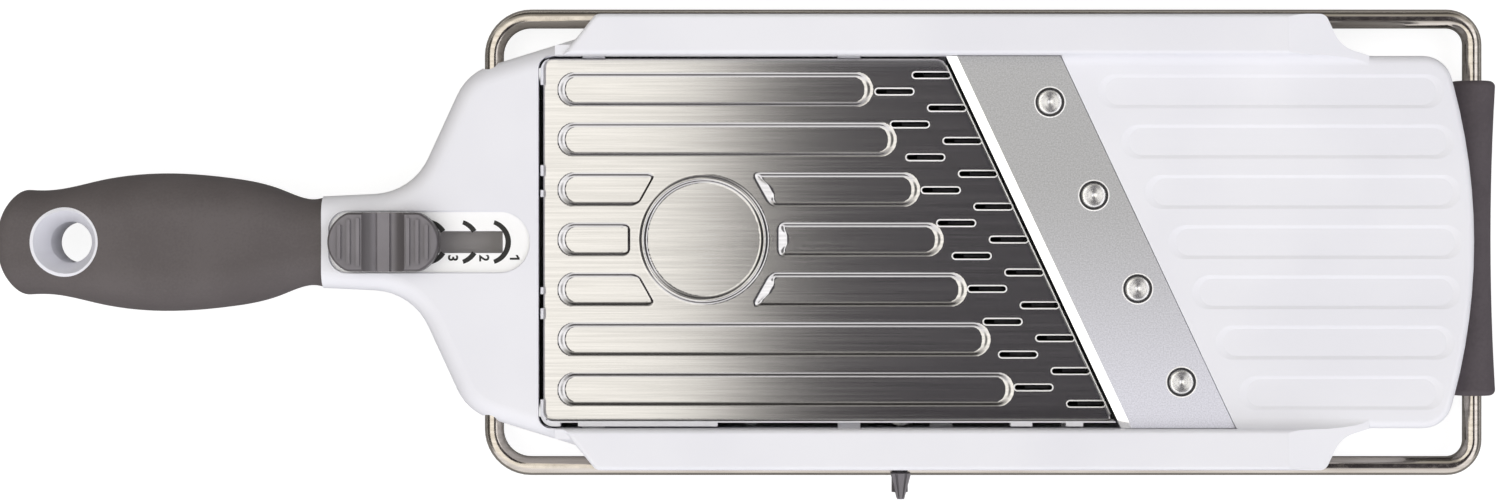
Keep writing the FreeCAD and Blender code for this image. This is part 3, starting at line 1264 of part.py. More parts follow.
def lever_arm(place, half_root, half_tip, rise):
    """Tapered rib from the arm's root to the lever's tip; place is its share of the half width."""

    def section(x, half, low, high, y):
        left, right = x - half, x + half
        corners = [vec(left, y, low), vec(right, y, low), vec(right, y, high), vec(left, y, high)]
        return Part.makePolygon(corners + corners[:1])

    root = section(SHAFT_X + place * LEVER_HALF, half_root, SHAFT_Z, SHAFT_Z + rise, -LEVER_ARM_Y)
    tip_z = SHAFT_Z + rise - LEVER_FALL
    tip = section(SHAFT_X + place * LEVER_TIP_HALF, half_tip, SHAFT_Z, tip_z, -LEVER_TIP_Y)
    return Part.makeLoft([root, tip], True, True)


def julienne_lever():
    hub = rod(LEVER_HUB_R, vec(SHAFT_X, -LEVER_Y0, SHAFT_Z), vec(SHAFT_X, -LEVER_TIP_Y + LEVER_CAP, SHAFT_Z))
    low = LEVER_RISE - LEVER_GROOVE
    core = lever_arm(0, LEVER_HALF - LEVER_GROOVE / 2, LEVER_TIP_HALF - LEVER_GROOVE / 4, low)
    ridges = [lever_arm(0, LEVER_HALF * LEVER_RIDGE, LEVER_TIP_HALF * LEVER_RIDGE, LEVER_RISE)]
    for sign in (1, -1):
        ridges.append(lever_arm(sign * (1 - LEVER_RIDGE / 2), LEVER_HALF * LEVER_RIDGE / 2,
                                LEVER_TIP_HALF * LEVER_RIDGE / 2, LEVER_RISE - LEVER_GROOVE / 2))
    solid = fused(hub, [core] + ridges)
    bore = rod(SHAFT_R + BUSH_FIT, vec(SHAFT_X, -LEVER_Y0 + PAST, SHAFT_Z),
               vec(SHAFT_X, -shaft_end() - BUSH_FIT, SHAFT_Z))
    return solid.cut([bore, cross_pin(LEVER_PIN_R + PIN_FIT, lever_pin_y(), LEVER_HUB_R)])


def shaft_bush(side):
    y0, y1 = sorted((side * BAY_HALF, side * SKIRT_HALF))
    ring = rod(SHAFT_BUSH_R, vec(SHAFT_X, y0, SHAFT_Z), vec(SHAFT_X, y1, SHAFT_Z))
    bore = rod(SHAFT_R + SHAFT_CLEAR, vec(SHAFT_X, y0 - PAST, SHAFT_Z), vec(SHAFT_X, y1 + PAST, SHAFT_Z))
    return ring.cut(bore)


def shaft_clip():
    """Push-on ring inside the wall on the lever's side."""
    y0 = -BAY_HALF + CLIP_GAP
    ring = rod(CLIP_R, vec(SHAFT_X, y0, SHAFT_Z), vec(SHAFT_X, y0 + CLIP_T, SHAFT_Z))
    out = y0 + CLIP_T + PAST
    return ring.cut(rod(SHAFT_R + BUSH_FIT, vec(SHAFT_X, y0 - PAST, SHAFT_Z), vec(SHAFT_X, out, SHAFT_Z)))


def tooth(x, y, grow=0.0):
    """One julienne blade with a raked leading edge and a root in the tray."""
    x0 = x - TOOTH_LENGTH / 2 - grow
    x1 = x + TOOTH_LENGTH / 2 + grow
    top = PLATE_Z - TOOTH_SINK
    root = TRAY_Z1 - TOOTH_ROOT - grow
    section = [(x0, root), (x1, root), (x1, top), (x0 + TOOTH_RAKE, top), (x0, TRAY_Z1 + TOOTH_RAKE)]
    half = TOOTH_T / 2 + grow
    return side_prism(section, y - half, y + half)


def julienne_tray():
    plan = [
        (TRAY_X0, TRAY_HALF, TRAY_CORNER_R),
        (TRAY_X0, -TRAY_HALF, TRAY_CORNER_R),
        (slanted_x(TRAY_EDGE_X, -TRAY_HALF), -TRAY_HALF, 0),
        (slanted_x(TRAY_EDGE_X, TRAY_HALF), TRAY_HALF, 0),
    ]
    tray = prism(plan, TRAY_Z0, TRAY_Z1)
    tabs = [guide_tab(x, side, TRAY_Z0, TRAY_Z1, TRAY_HALF - WALL) for x, side in TRAY_GUIDES]
    tray = fused(tray, tabs)
    return tray.cut([tooth(x, y, TOOTH_FIT) for x, y in julienne_places()])


def group(solids):
    return Part.makeCompound(list(solids))


def main():
    nodes = {
        "body_frame": body_frame(),
        "handle_grip": handle_grip(),
        "slicing_blade": slicing_blade(),
        "blade_rivets": group(blade_rivet(x, y) for x, y in rivet_places()),
        "rivet_washers": group(rivet_washer(x, y) for x, y in rivet_places()),
        "ramp_plate": ramp_plate(),
        "ramp_carrier": ramp_carrier(),
        "lift_pins": group(side for x in PIN_X for side in both_sides(lift_pin(x))),
        "slider_button": slider_button(),
        "slider_screw": slider_screw(),
        "slider_carriage": slider_carriage(),
        "friction_spring": friction_spring(),
        "neck_cover": neck_cover(),
        "cover_screws": group(cover_screw(x, y) for x, y in COVER_SCREWS),
        "stand_wire": stand_wire(),
        "stand_foot": stand_foot(),
        "stand_bushes": group(both_sides(stand_bush())),
        "stand_retainers": group(both_sides(stand_retainer())),
        "cam_shaft": cam_shaft(),
        "lift_cams": group(lift_cam(y) for y in CAM_Y),
        "cam_pins": group(cam_pin(y) for y in CAM_Y),
        "julienne_lever": julienne_lever(),
        "lever_pin": lever_pin(),
        "shaft_bushes": group(shaft_bush(side) for side in (1, -1)),
        "shaft_clip": shaft_clip(),
        "julienne_tray": julienne_tray(),
        "front_julienne_blades": group(tooth(x, y) for x, y in slot_centres(FRONT_COUNT, FRONT_SLOT_X)),
        "rear_julienne_blades": group(tooth(x, y) for x, y in slot_centres(REAR_COUNT, REAR_SLOT_X)),
    }
    os.makedirs("parts", exist_ok=True)
    for name, shape in nodes.items():
        shape.exportStep("parts/%s.step" % name)
        print(name, len(shape.Solids), "solids", round(shape.Volume, 1), "mm3", shape.isValid())


main()
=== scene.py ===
import math

import bmesh
import bpy
import numpy as np
from mathutils import Matrix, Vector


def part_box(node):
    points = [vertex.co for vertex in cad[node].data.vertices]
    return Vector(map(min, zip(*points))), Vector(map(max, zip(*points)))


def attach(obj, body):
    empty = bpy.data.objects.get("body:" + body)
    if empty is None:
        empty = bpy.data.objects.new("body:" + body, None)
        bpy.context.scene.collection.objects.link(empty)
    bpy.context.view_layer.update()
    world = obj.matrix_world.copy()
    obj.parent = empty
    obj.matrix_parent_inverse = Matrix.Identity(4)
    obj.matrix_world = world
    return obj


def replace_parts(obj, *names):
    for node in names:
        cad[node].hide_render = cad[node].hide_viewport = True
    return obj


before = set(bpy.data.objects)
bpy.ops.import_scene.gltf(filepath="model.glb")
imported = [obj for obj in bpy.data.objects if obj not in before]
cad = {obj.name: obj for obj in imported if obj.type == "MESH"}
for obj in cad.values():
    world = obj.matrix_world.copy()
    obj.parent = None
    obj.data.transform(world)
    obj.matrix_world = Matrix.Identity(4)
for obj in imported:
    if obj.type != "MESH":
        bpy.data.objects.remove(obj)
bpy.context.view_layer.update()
scene = bpy.context.scene
MM, MICRON = 0.001, 0.000001
UP = (0.0, 0.0, 1.0)


def metres(*at):
    return [part * MM for part in at]


def box_mm(node):
    """Lowest and highest corner of a CAD node, in millimetres."""
    return [[part / MM for part in corner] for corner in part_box(node)]


# Sizes of the pieces, in millimetres

# Ramp: drawn about its own long axis, then moved sideways to its place by TO_PLATE
SLANT = 0.47  # fall of x with y along the cutting edge
plate_low, plate_high = box_mm("ramp_plate")
blade_low, blade_high = box_mm("slicing_blade")
PLATE_LIP, EDGE_GAP = 0.4, 0.6  # sheet past the solid's left edge, and its end short of the blade's edge
PLATE_X0, PLATE_Z, PLATE_T = plate_low[0] - PLATE_LIP, plate_high[2], 1.2
PLATE_SHIFT, PLATE_HALF = (plate_high[1] + plate_low[1]) / 2, (plate_high[1] - plate_low[1]) / 2
BLADE_EDGE_X = blade_low[0] + SLANT * blade_high[1]
PLATE_EDGE_X = BLADE_EDGE_X - EDGE_GAP - SLANT * PLATE_SHIFT
PLATE_CORNER_R, PLATE_TIP_R = 2.6, 1.8
TO_PLATE = Matrix.Translation((0.0, PLATE_SHIFT * MM, 0.0))

# Channels pressed into the ramp, and the medallion's ring
ROW_PITCH = 13.3
ROWS = [ROW_PITCH * (i - 3) for i in range(7)]
CHANNEL_X0, CHANNEL_X1, CHANNEL_HALF, CHANNEL_DEPTH = -51.6, 51.1, 4.6, 0.85
CHANNEL_SIDE, CHANNEL_LEFT_END, CHANNEL_RIGHT_END = 1.4, 2.1, 2.2  # widths of the slopes
RING_X, RING_R, RING_HALF, RING_RISE = -12.7, 16.2, 1.2, 0.7
RING_CLEAR_R, RING_TAIL = 19.5, 0.775  # circle at which channels stop, and the share of it that they follow
STOP_LEFT_END, STOP_RIGHT_END = 0.8, 3.1  # widths of the slopes beside the ring
STOP_CORNER_R, STOP_BLEND = 2.0, 2.4

# Grid of the pressed sheet
EDGE_STEPS, EDGE_ROUND, EDGE_DROP = (0.1, 0.2, 0.35), 0.35, 0.3
FINE_STEP, COARSE_STEP, LEAST_STEP = 0.3, 1.6, 0.08
FINE_SPANS = ((-52.5, -44.5), (-35.0, 15.0), (42.0, 54.0))  # the channels' ends and the ring
LEAN_X0, LEAN_RUN = -30.0, 60.0  # where its lines turn from square to the cutting edge's slant
NORMAL_STEP, NORMAL_MARGIN = 0.02, 0.6  # for the slopes of the relief, and what keeps the facets' normals
BRUSH_MAP, BRUSH_SIZE = "brush", 200.0

# Julienne slots and the rolled edges round them and along the ramp's end
SLOT_PITCH, SLOT_LENGTH, SLOT_WIDTH, SLOT_END_STEPS = 8.745, 10.0, 1.4, 8
SLOT_ROWS = ((11, PLATE_EDGE_X - 5.4), (10, PLATE_EDGE_X - 17.35))  # count and middle x, front and rear
CUT_BELOW, CUT_ABOVE = 3.0, 2.0
RIM_R, RIM_STEPS, EDGE_POINTS = 0.2, 8, 40
SLOT_RIM_OUT, EDGE_RIM_IN = 0.9 * RIM_R, 1.1 * RIM_R

# Rivets: (radius, height) profiles, the tail's counted from its end and the others from the head's top
RIVET_X, RIVET_Y0, RIVET_PITCH, RIVET_COUNT = 96.4, -37.05, 24.7, 4
RIVET_HEAD = (
    (0.05, -0.16), (0.2, -0.14), (0.4, -0.04), (0.7, 0.0), (1.3, -0.01), (1.6, -0.04), (1.9, 0.0),
    (2.6, -0.01), (2.95, -0.08), (3.1, -0.25), (3.15, -0.6), (3.15, -0.9), (1.65, -0.9), (1.6, -0.95),
)
RIVET_TAIL = ((1.6, 1.0), (2.45, 1.0), (2.6, 0.9), (2.55, 0.4), (2.2, 0.1), (1.6, 0.0), (0.05, 0.0))
# The seat's profile is a black ring of painted shade in the sink round each head; the rim's takes a painted
# highlight.
RIVET_SHADE_RING = ((3.2, -0.88), (3.5, -0.8), (3.82, -0.6), (3.84, -0.88))
RIVET_RIM = ((3.84, -0.6), (3.88, -0.45), (4.0, -0.42), (4.14, -0.45), (4.2, -0.52))

# Thickness scale in the slider's recess
RECESS_Z, RECESS_X0, RECESS_X1, RECESS_HALF = 29.0, -111.98, -58.5, 8.3
PANEL_SET, PANEL_T, PANEL_LEFT_R, PANEL_RIGHT_R = 0.3, 0.04, 4.7, 7.8
STEM_X0, STEM_X1, STEM_HALF, STEM_GAP, STEM_CORNER_R = -101.4, -65.9, 2.9, 0.1, 0.4
PRINT_Z, PRINT_T = RECESS_Z + PANEL_T, 0.03
MARK_X, MARK_PITCH, MARK_R = -63.7, 8.25, 6.0
MARK_END, MARK_GAP = 74, 32  # degrees
MARK_WIDTH, MARK_SWELL = 1.0, 0.45
DIGIT_X, DIGIT_Y, DIGIT_SIZE, DIGIT_WEIGHT = -62.7, -4.25, 3.6, 0.1
DIGIT_ONE = ((0.45, -1.3), (0.45, 1.3), (0.0, 1.3), (-0.85, 0.75), (-0.85, 0.2), (-0.1, 0.62), (-0.1, -1.3))

# Places between which plastic under the ramp turns to painted shade
CARRIAGE_SHADE_X, CARRIER_SHADE_X = (-64.2, -63.8), (PLATE_X0 + 1.0, PLATE_X0 + 1.2)
CARRIER_SHADE_Y = (PLATE_HALF - 0.4, PLATE_HALF - 0.2)


# Materials


def srgb(red, green, blue):
    """Linear colour of a screen colour given in 0 to 255."""
    out = []
    for part in (red, green, blue):
        part /= 255
        out.append(part / 12.92 if part <= 0.04045 else ((part + 0.055) / 1.055) ** 2.4)
    return (*out, 1.0)


class Nodes:
    """A node tree with short ways to add and join nodes."""

    def __init__(self, tree):
        self.tree = tree

    def node(self, kind, **inputs):
        made = self.tree.nodes.new(kind)
        for key, value in inputs.items():
            self.put(made.inputs[key], value)
        return made

    def put(self, socket, value):
        """Sets a socket, or joins it where the value is another node's socket."""
        if isinstance(value, bpy.types.NodeSocket):
            self.tree.links.new(value, socket)
        else:
            socket.default_value = value

    def maths(self, operation, *values):
        made = self.node("ShaderNodeMath")
        made.operation = operation
        for socket, value in zip(made.inputs, values):
            self.put(socket, value)
        return made.outputs[0]

    def span(self, value, low, high, start=0.3, stop=0.7):
        """Maps values from start to stop onto the range low to high."""
        made = self.node("ShaderNodeMapRange", Value=value)
        made.interpolation_type = "SMOOTHSTEP"
        for key, number in (("From Min", start), ("From Max", stop), ("To Min", low), ("To Max", high)):
            made.inputs[key].default_value = number
        return made.outputs[0]

    def blend(self, factor, first, second):
        """Colour that goes from first to second with the factor, by a Mix node's colour sockets."""
        made = self.node("ShaderNodeMix")
        made.data_type = "RGBA"
        self.put(made.inputs[0], factor)
        self.put(made.inputs[6], first)
        self.put(made.inputs[7], second)
        return made.outputs[2]


class Finish(Nodes):
    """A node material built round one Principled shader."""

    def __init__(self, name, **values):
        self.material = bpy.data.materials.new(name)
        self.material.use_nodes = True
        super().__init__(self.material.node_tree)
        self.shader = self.tree.nodes["Principled BSDF"]
        self.coordinates = self.node("ShaderNodeTexCoord")
        self.place = self.coordinates.outputs["Object"]
        for key, value in values.items():
            self.shader.inputs[key].default_value = value

    def stretch(self, scale):
        return self.node("ShaderNodeMapping", Vector=self.place, Scale=scale).outputs[0]

    def noise(self, scale, detail=3.0, place=None, rough=0.5):
        where = place or self.place
        made = self.node("ShaderNodeTexNoise", Vector=where, Scale=scale, Detail=detail, Roughness=rough)
        return made.outputs["Fac"]

    def part(self, axis):
        """One part of the place on the piece, in metres."""
        return self.node("ShaderNodeSeparateXYZ", Vector=self.place).outputs[axis]

    def facing(self, direction):
        """How far the surface's own normal points along a direction."""
        made = self.node("ShaderNodeVectorMath")
        made.operation = "DOT_PRODUCT"
        self.put(made.inputs[0], self.coordinates.outputs["Normal"])
        made.inputs[1].default_value = direction
        return made.outputs["Value"]

    def mottle(self, pattern, low, high):
        """Colour that follows a noise pattern between two shades."""
        return self.blend(self.span(pattern, 0.0, 1.0), low, high)

    def colour(self, value):
        self.put(self.shader.inputs["Base Color"], value)

    def roughness(self, value):
        self.put(self.shader.inputs["Roughness"], value)

    def bump(self, height, depth):
        """Relief of the given depth in micrometres, laid over any earlier relief."""
        made = self.node("ShaderNodeBump", Height=height, Distance=depth * MICRON)
        earlier = self.shader.inputs["Normal"].links
        if earlier:
            self.put(made.inputs["Normal"], earlier[0].from_socket)
        self.put(self.shader.inputs["Normal"], made.outputs[0])

    def brushed(self):
        """Stretches highlights along the U direction of the piece's brush map."""
        made = self.node("ShaderNodeTangent")
        made.direction_type = "UV_MAP"
        made.uv_map = BRUSH_MAP
        self.put(self.shader.inputs["Tangent"], made.outputs[0])


def white_plastic(name, low, high):
    made = Finish(name, IOR=1.47)
    made.colour(made.mottle(made.noise(25.0, 2.0), low, high))
    grain = made.noise(1800.0, 4.0)
    made.roughness(made.span(grain, 0.34, 0.46))
    made.bump(grain, 12)
    made.bump(made.noise(90.0, 2.0), 20)
    return made.material


def soft_rubber(name, low, high, grain_scale):
    made = Finish(name, IOR=1.5, **{"Specular IOR Level": 0.35})
    grain = made.noise(grain_scale)
    cloud = made.maths("MULTIPLY", made.noise(60.0, 4.0), 0.5)
    both = made.maths("ADD", cloud, made.maths("MULTIPLY", grain, 0.5))
    made.colour(made.blend(made.span(both, 0.0, 1.0, 0.35, 0.65), low, high))
    made.roughness(made.span(grain, 0.58, 0.74))
    made.bump(grain, 60)
    return made.material


def grey_plastic(name, low, high, side):
    """Grey moulding with painted shade, the side colour, on its sides where they slope; its level faces stay
    lighter.
    """
    made = Finish(name, IOR=1.48)
    level = made.mottle(made.noise(70.0), low, high)
    painted_side_shade = made.span(made.facing(UP), 1.0, 0.0, 0.9, 0.99)
    made.colour(made.blend(painted_side_shade, level, side))
    grain = made.noise(2200.0)
    made.roughness(made.span(grain, 0.28, 0.4))
    made.bump(grain, 20)
    return made.material


def ramp_steel():
    """Brushed sheet whose steepest slopes carry a painted dark reflection."""
    made = Finish("brushed_steel", Metallic=1.0, Anisotropic=1.0)
    fine = made.noise(1.0, 4.0, made.stretch((14.0, 5200.0, 400.0)), 0.6)
    broad = made.noise(1.0, 4.0, made.stretch((30.0, 1800.0, 100.0)), 0.6)
    flat = made.mottle(broad, srgb(191, 189, 187), srgb(205, 203, 201))
    painted_dark_slopes = made.span(made.facing(UP), 1.0, 0.0, 0.755, 0.79)
    # srgb(88, 84, 84) is the painted dark reflection on the steepest slopes.
    made.colour(made.blend(painted_dark_slopes, flat, srgb(88, 84, 84)))
    made.roughness(made.span(fine, 0.16, 0.2))
    made.bump(fine, 2)
    made.brushed()
    return made.material


def blade_steel():
    """Blasted flat, paler and bluer towards one end in a painted reflection, with a finely ground bevel
    towards the ramp.
    """
    made = Finish("ground_steel", Metallic=1.0)
    bevel = made.span(made.facing((-0.905, -0.425, 0.0)), 0.0, 1.0, 0.12, 0.24)
    speck = made.noise(2600.0, rough=0.7)
    grey = made.mottle(speck, srgb(174, 174, 174), srgb(202, 202, 203))
    # The pale colours are a painted reflection, laid on the flat towards one end.
    pale = made.mottle(speck, srgb(218, 218, 227), srgb(242, 242, 251))
    flat = made.blend(made.span(made.part(1), 1.0, 0.0, -0.06, 0.02), grey, pale)
    made.colour(made.blend(bevel, flat, srgb(252, 252, 252)))
    ground = made.noise(1.0, 4.0, made.stretch((900.0, 2600.0, 900.0)), 0.6)
    made.roughness(made.span(bevel, 0.5, 0.14, 0.0, 1.0))
    made.bump(ground, 4)
    return made.material


def turned_steel():
    made = Finish("turned_steel", Metallic=1.0, Anisotropic=0.95)
    fine = made.noise(1500.0)
    made.colour(made.mottle(fine, srgb(238, 237, 235), srgb(246, 245, 243)))
    made.roughness(made.span(fine, 0.26, 0.3))
    made.bump(fine, 3)
    made.brushed()
    return made.material


def small_steel(name, low, high, smooth, rough, metal=1.0):
    made = Finish(name, Metallic=metal)
    fine = made.noise(1400.0)
    made.colour(made.mottle(fine, low, high))
    made.roughness(made.span(made.noise(300.0), smooth, rough))
    made.bump(fine, 4)
    return made.material


def two_tone(name, pale, dark, mask):
    """Plastic whose colour goes from the pale pair to the dark pair, a painted shade, where the mask says
    so.
    """
    made = Finish(name, IOR=1.48)
    cloud = made.span(made.noise(70.0), 0.0, 1.0)
    made.colour(made.blend(mask(made), made.blend(cloud, *pale), made.blend(cloud, *dark)))
    grain = made.noise(2200.0)
    made.roughness(made.span(grain, 0.4, 0.55))
    made.bump(grain, 20)
    return made.material


def under_ramp(made):
    """The part of the carriage past the slider's slot, which gets painted shade."""
    return made.span(made.part(0), 0.0, 1.0, *metres(*CARRIAGE_SHADE_X))


def under_slots(made):
    """The upward faces that the ramp covers, which show only through its slots and get painted shade."""
    across = made.maths("ABSOLUTE", made.maths("SUBTRACT", made.part(1), PLATE_SHIFT * MM))
    covered = made.span(across, 1.0, 0.0, *metres(*CARRIER_SHADE_Y))
    past_edge = made.span(made.part(0), 0.0, 1.0, *metres(*CARRIER_SHADE_X))
    upward = made.span(made.facing(UP), 0.0, 1.0, 0.5, 0.7)
    return made.maths("MULTIPLY", made.maths("MULTIPLY", covered, past_edge), upward)


def wire_chrome():
    made = Finish("polished_wire", Metallic=1.0)
    streak = made.noise(1.0, place=made.stretch((30.0, 900.0, 900.0)))
    made.colour(made.mottle(streak, srgb(178, 170, 160), srgb(200, 193, 184)))
    made.roughness(made.span(made.noise(500.0, 4.0), 0.1, 0.2))
    made.bump(made.noise(120.0), 40)
    made.bump(streak, 10)
    return made.material


def bush_plastic():
    made = Finish("bearing_plastic", IOR=1.48)
    cloud = made.noise(400.0)
    made.colour(made.mottle(cloud, srgb(40, 40, 42), srgb(52, 51, 53)))
    made.roughness(made.span(cloud, 0.38, 0.5))
    made.bump(made.noise(2500.0), 10)
    return made.material


def black_ink():
    made = Finish("black_print", IOR=1.45)
    speck = made.noise(6000.0, 2.0)
    made.colour(made.mottle(speck, srgb(22, 21, 20), srgb(34, 33, 31)))
    made.roughness(made.span(speck, 0.45, 0.6))
    made.bump(speck, 4)
    return made.material


WHITE = white_plastic("moulded_white", srgb(229, 229, 235), srgb(234, 234, 239))
PANEL = white_plastic("scale_white", srgb(246, 246, 246), srgb(250, 250, 250))
GRIP = soft_rubber("soft_grip", srgb(88, 82, 82), srgb(97, 91, 91), 1500.0)
FOOT = soft_rubber("rubber_sleeve", srgb(80, 73, 77), srgb(90, 83, 87), 900.0)
# The third colour is the painted shade on the sides of the button, cams and lever.
GREY = grey_plastic("moulded_grey", srgb(114, 110, 114), srgb(126, 122, 126), srgb(84, 80, 82))
# Painted shade for plastic that lies in shadow under the ramp.
PAINTED_SHADE = srgb(34, 33, 34), srgb(44, 43, 44)
# The carriage turns to painted shade past the slider's slot.
PALE = two_tone("carriage_plastic", (srgb(176, 172, 171), srgb(184, 180, 179)), PAINTED_SHADE, under_ramp)
# The carrier and tray turn to painted shade on the faces hidden under the ramp's slots.
CARRIER = two_tone("carrier_plastic", (srgb(238, 238, 243), srgb(243, 243, 247)), PAINTED_SHADE, under_slots)
RAMP = ramp_steel()
BLADE = blade_steel()
TURNED = turned_steel()
STEEL = small_steel("plain_steel", srgb(176, 175, 176), srgb(196, 195, 195), 0.22, 0.34)
# Rough near-white finish of the rolled edges, a painted highlight.
GLINT_PAINTED_STEEL = small_steel("rolled_edge", srgb(250, 249, 247), srgb(253, 252, 251), 0.5, 0.65, 0.3)
# Julienne blades made dark as painted shade in the ramp's slots.
SHADE_PAINTED_STEEL = small_steel("shade_painted_steel", srgb(46, 45, 47), srgb(58, 57, 59), 0.45, 0.6)
CHROME = wire_chrome()
BUSH = bush_plastic()
INK = black_ink()

FINISHES = {
    WHITE: ("body_frame", "neck_cover"),
    CARRIER: ("ramp_carrier", "julienne_tray"),
    GRIP: ("handle_grip",),
    GREY: ("slider_button", "lift_cams", "julienne_lever"),
    PALE: ("slider_carriage",),
    RAMP: ("ramp_plate",),
    BLADE: ("slicing_blade",),
    SHADE_PAINTED_STEEL: ("front_julienne_blades", "rear_julienne_blades"),
    STEEL: (
        "blade_rivets", "rivet_washers", "lift_pins", "slider_screw", "friction_spring", "cover_screws",
        "stand_retainers", "cam_shaft", "cam_pins", "lever_pin", "shaft_clip",
    ),
    CHROME: ("stand_wire",),
    FOOT: ("stand_foot",),
    BUSH: ("stand_bushes", "shaft_bushes"),
}
for finish, names in FINISHES.items():
    for name in names:
        for slot in cad[name].material_slots:
            slot.material = finish


# Pieces


def new_piece(name, mesh, material, body):
    """New object that rides on a body and takes the given finish."""
    mesh.materials.append(material)
    piece = bpy.data.objects.new(name, mesh)
    scene.collection.objects.link(piece)
    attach(piece, body)
    return piece


def evaluated_mesh(thing):
    """Mesh that an object's modifiers, curve or text give."""
    bpy.context.view_layer.update()
    graph = bpy.context.evaluated_depsgraph_get()
    return bpy.data.meshes.new_from_object(thing.evaluated_get(graph))


def bmesh_to_mesh(made, name):
    bmesh.ops.recalc_face_normals(made, faces=made.faces)
    mesh = bpy.data.meshes.new(name)
    made.to_mesh(mesh)
    made.free()
    return mesh


def shade(mesh, angle):
    """Smooth shading, except over edges that turn by more than the angle in degrees."""
    mesh.shade_smooth()
    mesh.set_sharp_from_angle(angle=math.radians(angle))


def polar(x, y, radius, turn):
    """Point at a radius and a turn about a centre."""
    return x + radius * math.cos(turn), y + radius * math.sin(turn)


def smooth_step(value):
    value = np.clip(value, 0.0, 1.0)
    return value * value * (3.0 - 2.0 * value)


# Ramp


def grid_lines(start, stop, coarse, dense):
    """Positions from start to stop, close together only where dense lists them."""
    lines = sorted(set([start, stop] + [v for v in dense if start < v < stop]))
    out = [start]
    for value in lines[1:]:
        gap = value - out[-1]
        if gap < LEAST_STEP:
            if value == stop:
                out[-1] = stop
            continue
        steps = max(1, math.ceil(gap / coarse))
        out += [out[-1] + gap * (k + 1) / steps for k in range(steps)]
    return np.array(out)


def capsule(x, y, x0, x1, y0, half):
    """Signed distance to a stadium along x, and how far its nearest side faces along +x."""
    core = np.clip(x, x0 + half, x1 - half)
    away = np.hypot(x - core, y - y0)
    return away - half, (x - core) / np.maximum(away, 1e-6)


def round_max(first, second, radius):
    """Larger of two distances, with the corner between them rounded."""
    both = np.hypot(np.maximum(first + radius, 0.0), np.maximum(second + radius, 0.0))
    return np.where((first > -radius) & (second > -radius), both - radius, np.maximum(first, second))


def channel_depth(distance, run):
    """Depth at a signed distance from a channel's outline, whose slope is as wide as the run."""
    return -CHANNEL_DEPTH * smooth_step(-distance / run)


def medallion_stop(row, y):
    """Distance along x from the ring's centre to a channel's end, and the length of that end's normal."""
    low, high = sorted((abs(row - CHANNEL_HALF), abs(row + CHANNEL_HALF)))
    if abs(row) < CHANNEL_HALF:
        low = high = 0.0
    tail = RING_TAIL * RING_CLEAR_R
    near, far = (math.sqrt(RING_CLEAR_R ** 2 - min(v, tail) ** 2) for v in (low, high))
    lean = (near - far) / (2 * CHANNEL_HALF)
    return (near + far) / 2 - lean * (y - row) * (1 if row >= 0 else -1), math.hypot(1.0, lean)


def plate_relief(x, y):
    """Height of the pressed ramp over its flat face."""
    z = np.zeros_like(x)
    for row in ROWS:
        inside, facing = capsule(x, y, CHANNEL_X0, CHANNEL_X1 - SLANT * row, row, CHANNEL_HALF)
        end = np.where(facing > 0, CHANNEL_RIGHT_END, CHANNEL_LEFT_END)
        run = CHANNEL_SIDE + (end - CHANNEL_SIDE) * facing ** 2
        if abs(row) > RING_CLEAR_R:
            z += channel_depth(inside, run)
            continue
        stop, length = medallion_stop(row, y)
        for side, end_run in ((-1, STOP_LEFT_END), (1, STOP_RIGHT_END)):
            past = (stop - side * (x - RING_X)) / length
            inner = round_max(inside, past, STOP_CORNER_R)
            turned = smooth_step(0.5 + (past - inside) / STOP_BLEND)
            z += channel_depth(inner, run + (end_run - run) * turned)
    ring = np.minimum(np.abs(np.hypot(x - RING_X, y) - RING_R), RING_HALF)
    return z + RING_RISE / 2 * (1.0 + np.cos(math.pi * ring / RING_HALF))


def inside_plate(x, y):
    """Distance from the plate's outline, positive inside it."""
    slanted = (PLATE_EDGE_X - SLANT * y - x) / math.hypot(1.0, SLANT)
    return np.minimum(np.minimum(PLATE_HALF - np.abs(y), x - PLATE_X0), slanted)


def plate_grid():
    """Grid over the plate with rounded corners: x, y and the distance from the edge."""
    across = [side * (PLATE_HALF - step) for step in EDGE_STEPS for side in (1, -1)]
    along = [PLATE_X0 + step for step in EDGE_STEPS] + [PLATE_EDGE_X - step for step in EDGE_STEPS]
    for start, stop in FINE_SPANS:
        along += list(np.arange(start, stop, FINE_STEP))
    u = grid_lines(PLATE_X0, PLATE_EDGE_X, COARSE_STEP, along)
    v = grid_lines(-PLATE_HALF, PLATE_HALF, FINE_STEP, across)
    u, v = np.meshgrid(u, v, indexing="ij")
    edge = np.minimum(np.minimum(PLATE_HALF - np.abs(v), u - PLATE_X0), PLATE_EDGE_X - u)
    for u_corner, sign_u, radius in ((PLATE_X0, -1, PLATE_CORNER_R), (PLATE_EDGE_X, 1, PLATE_TIP_R)):
        for sign_v in (-1, 1):
            a = np.clip((sign_u * (u - u_corner) + radius) / radius, 0.0, 1.0)
            b = np.clip((sign_v * v - PLATE_HALF + radius) / radius, 0.0, 1.0)
            u = u + sign_u * radius * (a * np.sqrt(1 - b * b / 2) - a)
            v = v + sign_v * radius * (b * np.sqrt(1 - a * a / 2) - b)
    return u - SLANT * v * smooth_step((u - LEAN_X0) / LEAN_RUN), v, edge


